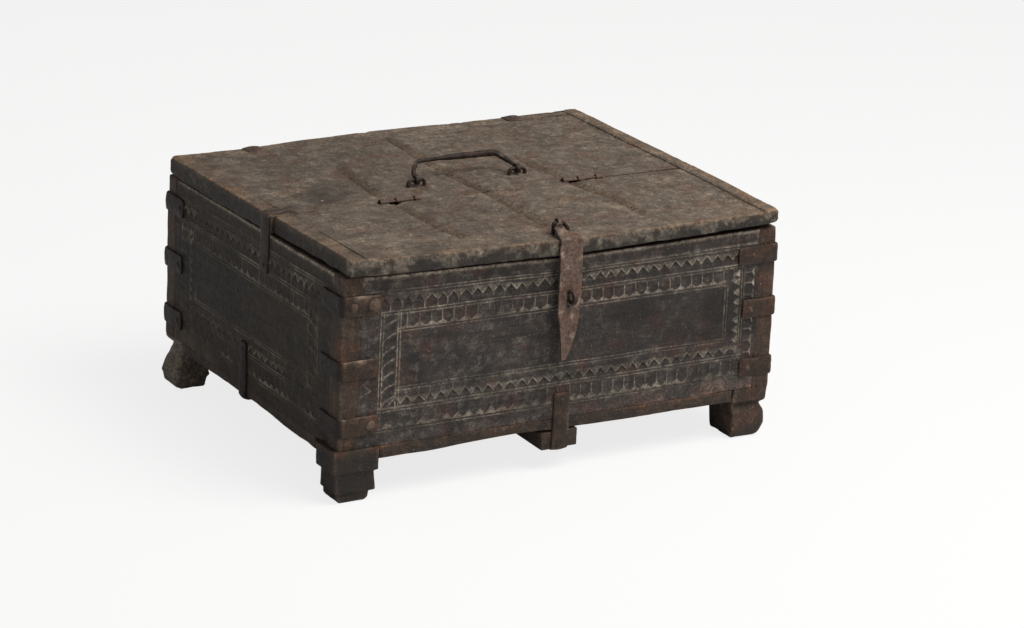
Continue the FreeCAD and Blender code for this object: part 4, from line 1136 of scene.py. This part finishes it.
# Hinges. An eye, here and below, is the radius of its hole, its outer radius and its width.
PIN, PIN_REACH = 2.0, 21.5
OUTER_EYE, MIDDLE_EYE = (PIN + 0.1, 3.5, 6.0), (PIN + 0.25, 3.5, 9.0)
BACK, FRONT = 1.0, -1.0
RUBBED_IRON = {"material": HASP_IRON, "worn": 0.9}


def iron_piece(node, body, shells, seed, voxel=0.45, smooth=2, dents=0.2, material=BLACK_IRON, worn=0.5):
    """A forged piece welded from shells, which stays on its pivot where the wood has sagged."""
    points, faces = forge(shells, voxel, smooth, seed, dents)
    # Bright patches, by the amount given: wear, and on the staples painted glints as well
    paint = {"wear_and_highlight": worn * smoothstep(rough(points, 7, 3, seed + 1), 0.1, 1.2)}
    piece(node + "_forged", body, points, faces, material, [node], paint, warped=False)


def spike(x, side):
    """The spike of a hinge eye, slanting down into the wood behind the joint or in front of it."""
    start = np.array([x, JOINT_Y + side * 2.2, TOP - 2.2])
    route = [start + np.array([0, side, -1.0]) * t for t in np.linspace(0, 11, 8)]
    return tube(route, np.linspace(1.5, 0.5, 8), 10)


for number, (side, x) in enumerate(HINGES.items()):
    outer = [x - EYE_SHIFT, x + EYE_SHIFT]
    shells = [spike(place, BACK) for place in outer]
    shells += [eye_ring(np.array([place, JOINT_Y, TOP]), *OUTER_EYE) for place in outer]
    iron_piece("hinge_fixed_eyes_" + side, "case", shells, 110 + number, **RUBBED_IRON)
    middle = eye_ring(np.array([x, JOINT_Y, TOP]), *MIDDLE_EYE)
    iron_piece("hinge_flap_eye_" + side, "flap", [middle, spike(x, FRONT)], 114 + number, **RUBBED_IRON)
    route = [np.array([x + t, JOINT_Y, TOP]) for t in np.linspace(-PIN_REACH, PIN_REACH, 40)]
    iron_piece("hinge_pin_" + side, "case", [tube(route, PIN - 0.4)], 118 + number, dents=0.12, **RUBBED_IRON)

# Loop staples, the hasp and its lock staple. The hasp's plate starts a little in front of its pivot, falls to
# the turn in front of the flap and runs down from there.
WIRE, STAPLE_RISE, STAPLE_LEG = 2.0, 6.0, 13.0
HASP_X, HASP_PIVOT_Y, HASP_Y = 238.5, 12.0, -8.3
HASP_FALL, HASP_PLATE, HASP_START = 6.0, 2.7, 4.0
HASP_EYE = (WIRE + 0.6, 4.8, 4.4)
LOCK_EYE, LOCK_SHANK = (3.5, 7.5, 4.4), 2.2
LOCK_Y, LOCK_Z = HASP_Y - HASP_PLATE - 0.2 - LOCK_EYE[0], 127.0


def loop_staple(node, body, x, y, span, seed, bend=4.2, slope=0.0):
    """A wire arch with both legs driven into the wood; its right shoulder can slope."""
    crown, tip = TOP + STAPLE_RISE, TOP - STAPLE_LEG
    shoulder = [(x + span, y, crown)]
    if slope:
        shoulder = [(x + span - slope, y, crown), (x + span, y, crown - slope)]
    route = rounded_route([(x - span, y, tip), (x - span, y, crown), *shoulder, (x + span, y, tip)], bend)
    # Bright patches on the wire: wear and painted glints
    iron_piece(node, body, [tube(route, WIRE)], seed, dents=0.14, worn=0.8)


for side, number in (("left", 121), ("right", 122)):
    low, high = case_box("handle_staple_" + side)
    loop_staple("handle_staple_" + side, "case", (low[0] + high[0]) / 2, (low[1] + high[1]) / 2,
                (high[0] - low[0]) / 2 - WIRE, number)
loop_staple("hasp_staple", "flap", HASP_X - 0.4, HASP_PIVOT_Y, 8.3, 123, 2.3, 7.0)

# Left and right edges of the hasp, from its eye over the front of the flap down to its tip. The first
# number is the distance along the plate; the others are measured from the middle of the staple.
HASP_TURN = math.hypot(HASP_PIVOT_Y - HASP_START - HASP_Y, HASP_FALL)
HASP_EDGES = [(0, -10.5, -3), (6, -11.2, 1.5), (10, -11.8, 6), (HASP_TURN - 3, -12.8, 11),
              (HASP_TURN + 2, -13, 11.8), (HASP_TURN + 34, -12.6, 12.2), (HASP_TURN + 65, -13, 12),
              (HASP_TURN + 78, -11.4, 10.6), (HASP_TURN + 91, -9.2, 8.6), (HASP_TURN + 102, -8.6, 5.6),
              (HASP_TURN + 112, -8.2, 1.5), (HASP_TURN + 120, -7.8, -3.4)]
HASP_LENGTH = HASP_EDGES[-1][0]
HASP_TURN_Z = TOP + 0.3 - HASP_FALL
SLOT_TOP, SLOT_BOTTOM, SLOT_HALF = LOCK_Z + 7.5, LOCK_Z - 10.7, 2.9


def hasp_x(along, share):
    """Where a point of the hasp is to the right of its middle; share goes from 0 at its left edge to 1."""
    places, lefts, rights = np.transpose(HASP_EDGES)
    left, right = np.interp(along, places, lefts), np.interp(along, places, rights)
    return left + (right - left) * share


def hasp_slot(along, share, out):
    """The slot for the lock staple, in the cells of the plate."""
    z = HASP_TURN_Z - (along - HASP_TURN)
    return (np.abs(hasp_x(along, share)) < SLOT_HALF) & (z > SLOT_BOTTOM) & (z < SLOT_TOP)


def hasp():
    """The hasp: a plate bent over the edge of the flap, with a slot for the lock staple and a curled eye."""
    points, quads, _ = lattice(np.arange(0, HASP_LENGTH + 0.5, 0.8), np.linspace(0, 1, 27),
                               np.linspace(0, HASP_PLATE, 4), gone=hasp_slot)
    along, share, out = points.T
    route = rounded_route([(0, HASP_PIVOT_Y - HASP_START, TOP + 0.3), (0, HASP_Y, HASP_TURN_Z),
                           (0, HASP_Y, HASP_TURN_Z - HASP_LENGTH + HASP_TURN)], 2.4, 0.5)
    run, ahead = run_of(route), headings(route)
    scaled = along * run[-1] / HASP_LENGTH
    y, z = (np.interp(scaled, run, route[:, i]) for i in (1, 2))
    out_y, out_z = np.interp(scaled, run, ahead[:, 2]), -np.interp(scaled, run, ahead[:, 1])
    curl = 1.2 * smoothstep(along, HASP_LENGTH - 26, HASP_LENGTH)
    placed = np.stack([HASP_X + hasp_x(along, share), y + out_y * (out + curl), z + out_z * out], axis=1)
    eye = eye_ring(np.array([HASP_X - 3.3, HASP_PIVOT_Y, TOP + STAPLE_RISE]), *HASP_EYE)
    tongue, faces, _ = lattice(np.linspace(0, 1, 12), np.linspace(-5.2, -3.2, 4),
                               np.linspace(0, STAPLE_RISE, 9))
    rise = tongue[:, 2] / STAPLE_RISE
    left, right = -10.8 + 3.6 * rise ** 1.5, -1.0 - 1.2 * rise
    tongue[:, 0] = HASP_X + left + (right - left) * tongue[:, 0]
    tongue[:, 1:] += [HASP_PIVOT_Y, TOP + 0.6]
    iron_piece("hasp", "hasp", [(placed, quads.tolist()), eye, (tongue, faces.tolist())], 131, voxel=0.5,
               smooth=3, dents=0.25, **RUBBED_IRON)


hasp()
lock_route = [np.array([HASP_X, y, LOCK_Z]) for y in np.linspace(LOCK_Y + LOCK_EYE[0] + 1.5, 14, 20)]
lock_ring = eye_ring(np.array([HASP_X, LOCK_Y, LOCK_Z]), *LOCK_EYE)
# The lock staple's bright patches are wear and a painted highlight
iron_piece("lock_staple", "case", [lock_ring, tube(lock_route, LOCK_SHANK)], 132, voxel=0.4, worn=1.1)

# Bail handle, drawn upright about its pivot line and then leant back
HANDLE_Y = case_box("handle_staple_left")[0][1] + WIRE
HANDLE_SPAN, HANDLE_MIDDLE = 115.0, 236.0
HANDLE_LEG, HANDLE_NARROWING, HANDLE_LEAN = 26.0, 12.0, math.radians(63)
HANDLE_START, HANDLE_EYE = 4.2, (WIRE + 0.5, 5.0, 5.0)


def bail():
    """The handle: two eyes, two legs and a grip that is thicker towards the right."""
    half = HANDLE_SPAN / 2
    flat = [(-half, 0, HANDLE_START), (-half + 1.5, 0, 12), (-half + HANDLE_NARROWING, 0, HANDLE_LEG),
            (0, 0, HANDLE_LEG + 0.8), (half - HANDLE_NARROWING, 0, HANDLE_LEG), (half, 0, HANDLE_START)]
    route = rounded_route(flat, 6.0)
    along = np.linspace(0, 1, len(route))
    radii = 2.1 + 1.25 * smoothstep(along, 0.36, 0.48) * smoothstep(along, 0.98, 0.84)
    radii += 0.3 * noise(route, (5, 5, 5), 5)
    turn = np.array([[1, 0, 0], [0, math.cos(HANDLE_LEAN), math.sin(HANDLE_LEAN)],
                     [0, -math.sin(HANDLE_LEAN), math.cos(HANDLE_LEAN)]])
    pivot = np.array([HANDLE_MIDDLE, HANDLE_Y, TOP + STAPLE_RISE])
    shells = [tube(route @ turn.T + pivot, radii)]
    shells += [eye_ring(pivot + X * x, *HANDLE_EYE) for x in (-half, half)]
    iron_piece("bail_handle", "handle", shells, 141, dents=0.3)


bail()

# Camera, fitted to the corners of the chest in the photograph
LENS, SENSOR, FAR = 125.4, 36.0, 50.0
AIM = np.array([240.0, 200.0, 100.0])
CAMERA_SHIFT = np.array([-48.520, 52.064, 3597.333])
AZIMUTH, ELEVATION, ROLL = 0.53313, 0.314541, 0.042091


def add_camera():
    """A view from the front left and a little from above, with the photograph's slight roll."""
    ahead = np.array([math.sin(AZIMUTH) * math.cos(ELEVATION), math.cos(AZIMUTH) * math.cos(ELEVATION),
                      -math.sin(ELEVATION)])
    right = np.array([math.cos(AZIMUTH), -math.sin(AZIMUTH), 0.0])
    up = np.cross(right, ahead)
    rolled_right = math.cos(ROLL) * right + math.sin(ROLL) * up
    rolled_up = -math.sin(ROLL) * right + math.cos(ROLL) * up
    turn = np.stack([rolled_right, rolled_up, ahead])
    eye = (AIM - turn.T @ CAMERA_SHIFT + ORIGIN) / 1000
    data = bpy.data.cameras.new("camera")
    data.lens = LENS
    data.sensor_width = SENSOR
    data.clip_end = FAR
    camera = bpy.data.objects.new("camera", data)
    bpy.context.scene.collection.objects.link(camera)
    axes = np.stack([rolled_right, rolled_up, -ahead, eye], axis=1)
    camera.matrix_world = Matrix(axes.tolist() + [[0, 0, 0, 1]])
    bpy.context.scene.camera = camera


LAMP_DIRECTION, LAMP_DISTANCE, LAMP_SIZE = (0.30, -0.42, 0.86), 2.6, 1.6
LAMP_POWER, LAMP_TINT = 66, (1.0, 0.97, 0.93)


def add_lamp():
    """A soft square lamp that points at the origin, on the floor."""
    data = bpy.data.lights.new("key", "AREA")
    data.size = LAMP_SIZE
    data.energy = LAMP_POWER
    data.color = LAMP_TINT
    lamp = bpy.data.objects.new("key", data)
    bpy.context.scene.collection.objects.link(lamp)
    lamp.location = np.array(LAMP_DIRECTION) / np.linalg.norm(LAMP_DIRECTION) * LAMP_DISTANCE
    lamp.rotation_mode = "QUATERNION"
    lamp.rotation_quaternion = lamp.location.to_track_quat("Z", "Y")


# The surround is white to the camera and dimmer as a light. To the camera the floor is mostly a white glow.
WHITE, PALE = (1.0, 1.0, 1.0, 1.0), (0.8, 0.8, 0.8, 1.0)
SURROUND_LIGHT, SURROUND_SEEN, FLOOR_GLOW = 0.3, 1.0, 0.8
FLOOR_HALF = 6.0


def add_studio():
    """A pale floor under an even white surround."""
    n = Nodes(bpy.data.worlds.new("studio"))
    strength = n.ramp(n.add("LightPath"), 0.0, 1.0, SURROUND_LIGHT, SURROUND_SEEN)
    background = n.add("Background", {"Color": WHITE, "Strength": strength})
    bpy.context.scene.world = n.add("OutputWorld", {"Surface": background})
    n = Nodes(bpy.data.materials.new("pale_floor"))
    share = n.times(n.add("LightPath"), FLOOR_GLOW)
    diffuse = n.add("BsdfDiffuse", {"Color": PALE})
    surface = n.add("MixShader", {"Fac": share, 1: diffuse, 2: n.add("Emission")})
    mesh = bpy.data.meshes.new("floor")
    corners = [(-FLOOR_HALF, -FLOOR_HALF, 0), (FLOOR_HALF, -FLOOR_HALF, 0), (FLOOR_HALF, FLOOR_HALF, 0),
               (-FLOOR_HALF, FLOOR_HALF, 0)]
    mesh.from_pydata(corners, [], [(0, 1, 2, 3)])
    mesh.materials.append(n.add("OutputMaterial", {"Surface": surface}))
    ground = bpy.data.objects.new("floor", mesh)
    bpy.context.scene.collection.objects.link(ground)


add_camera()
add_studio()
add_lamp()
bpy.context.scene.view_settings.view_transform = "Standard"
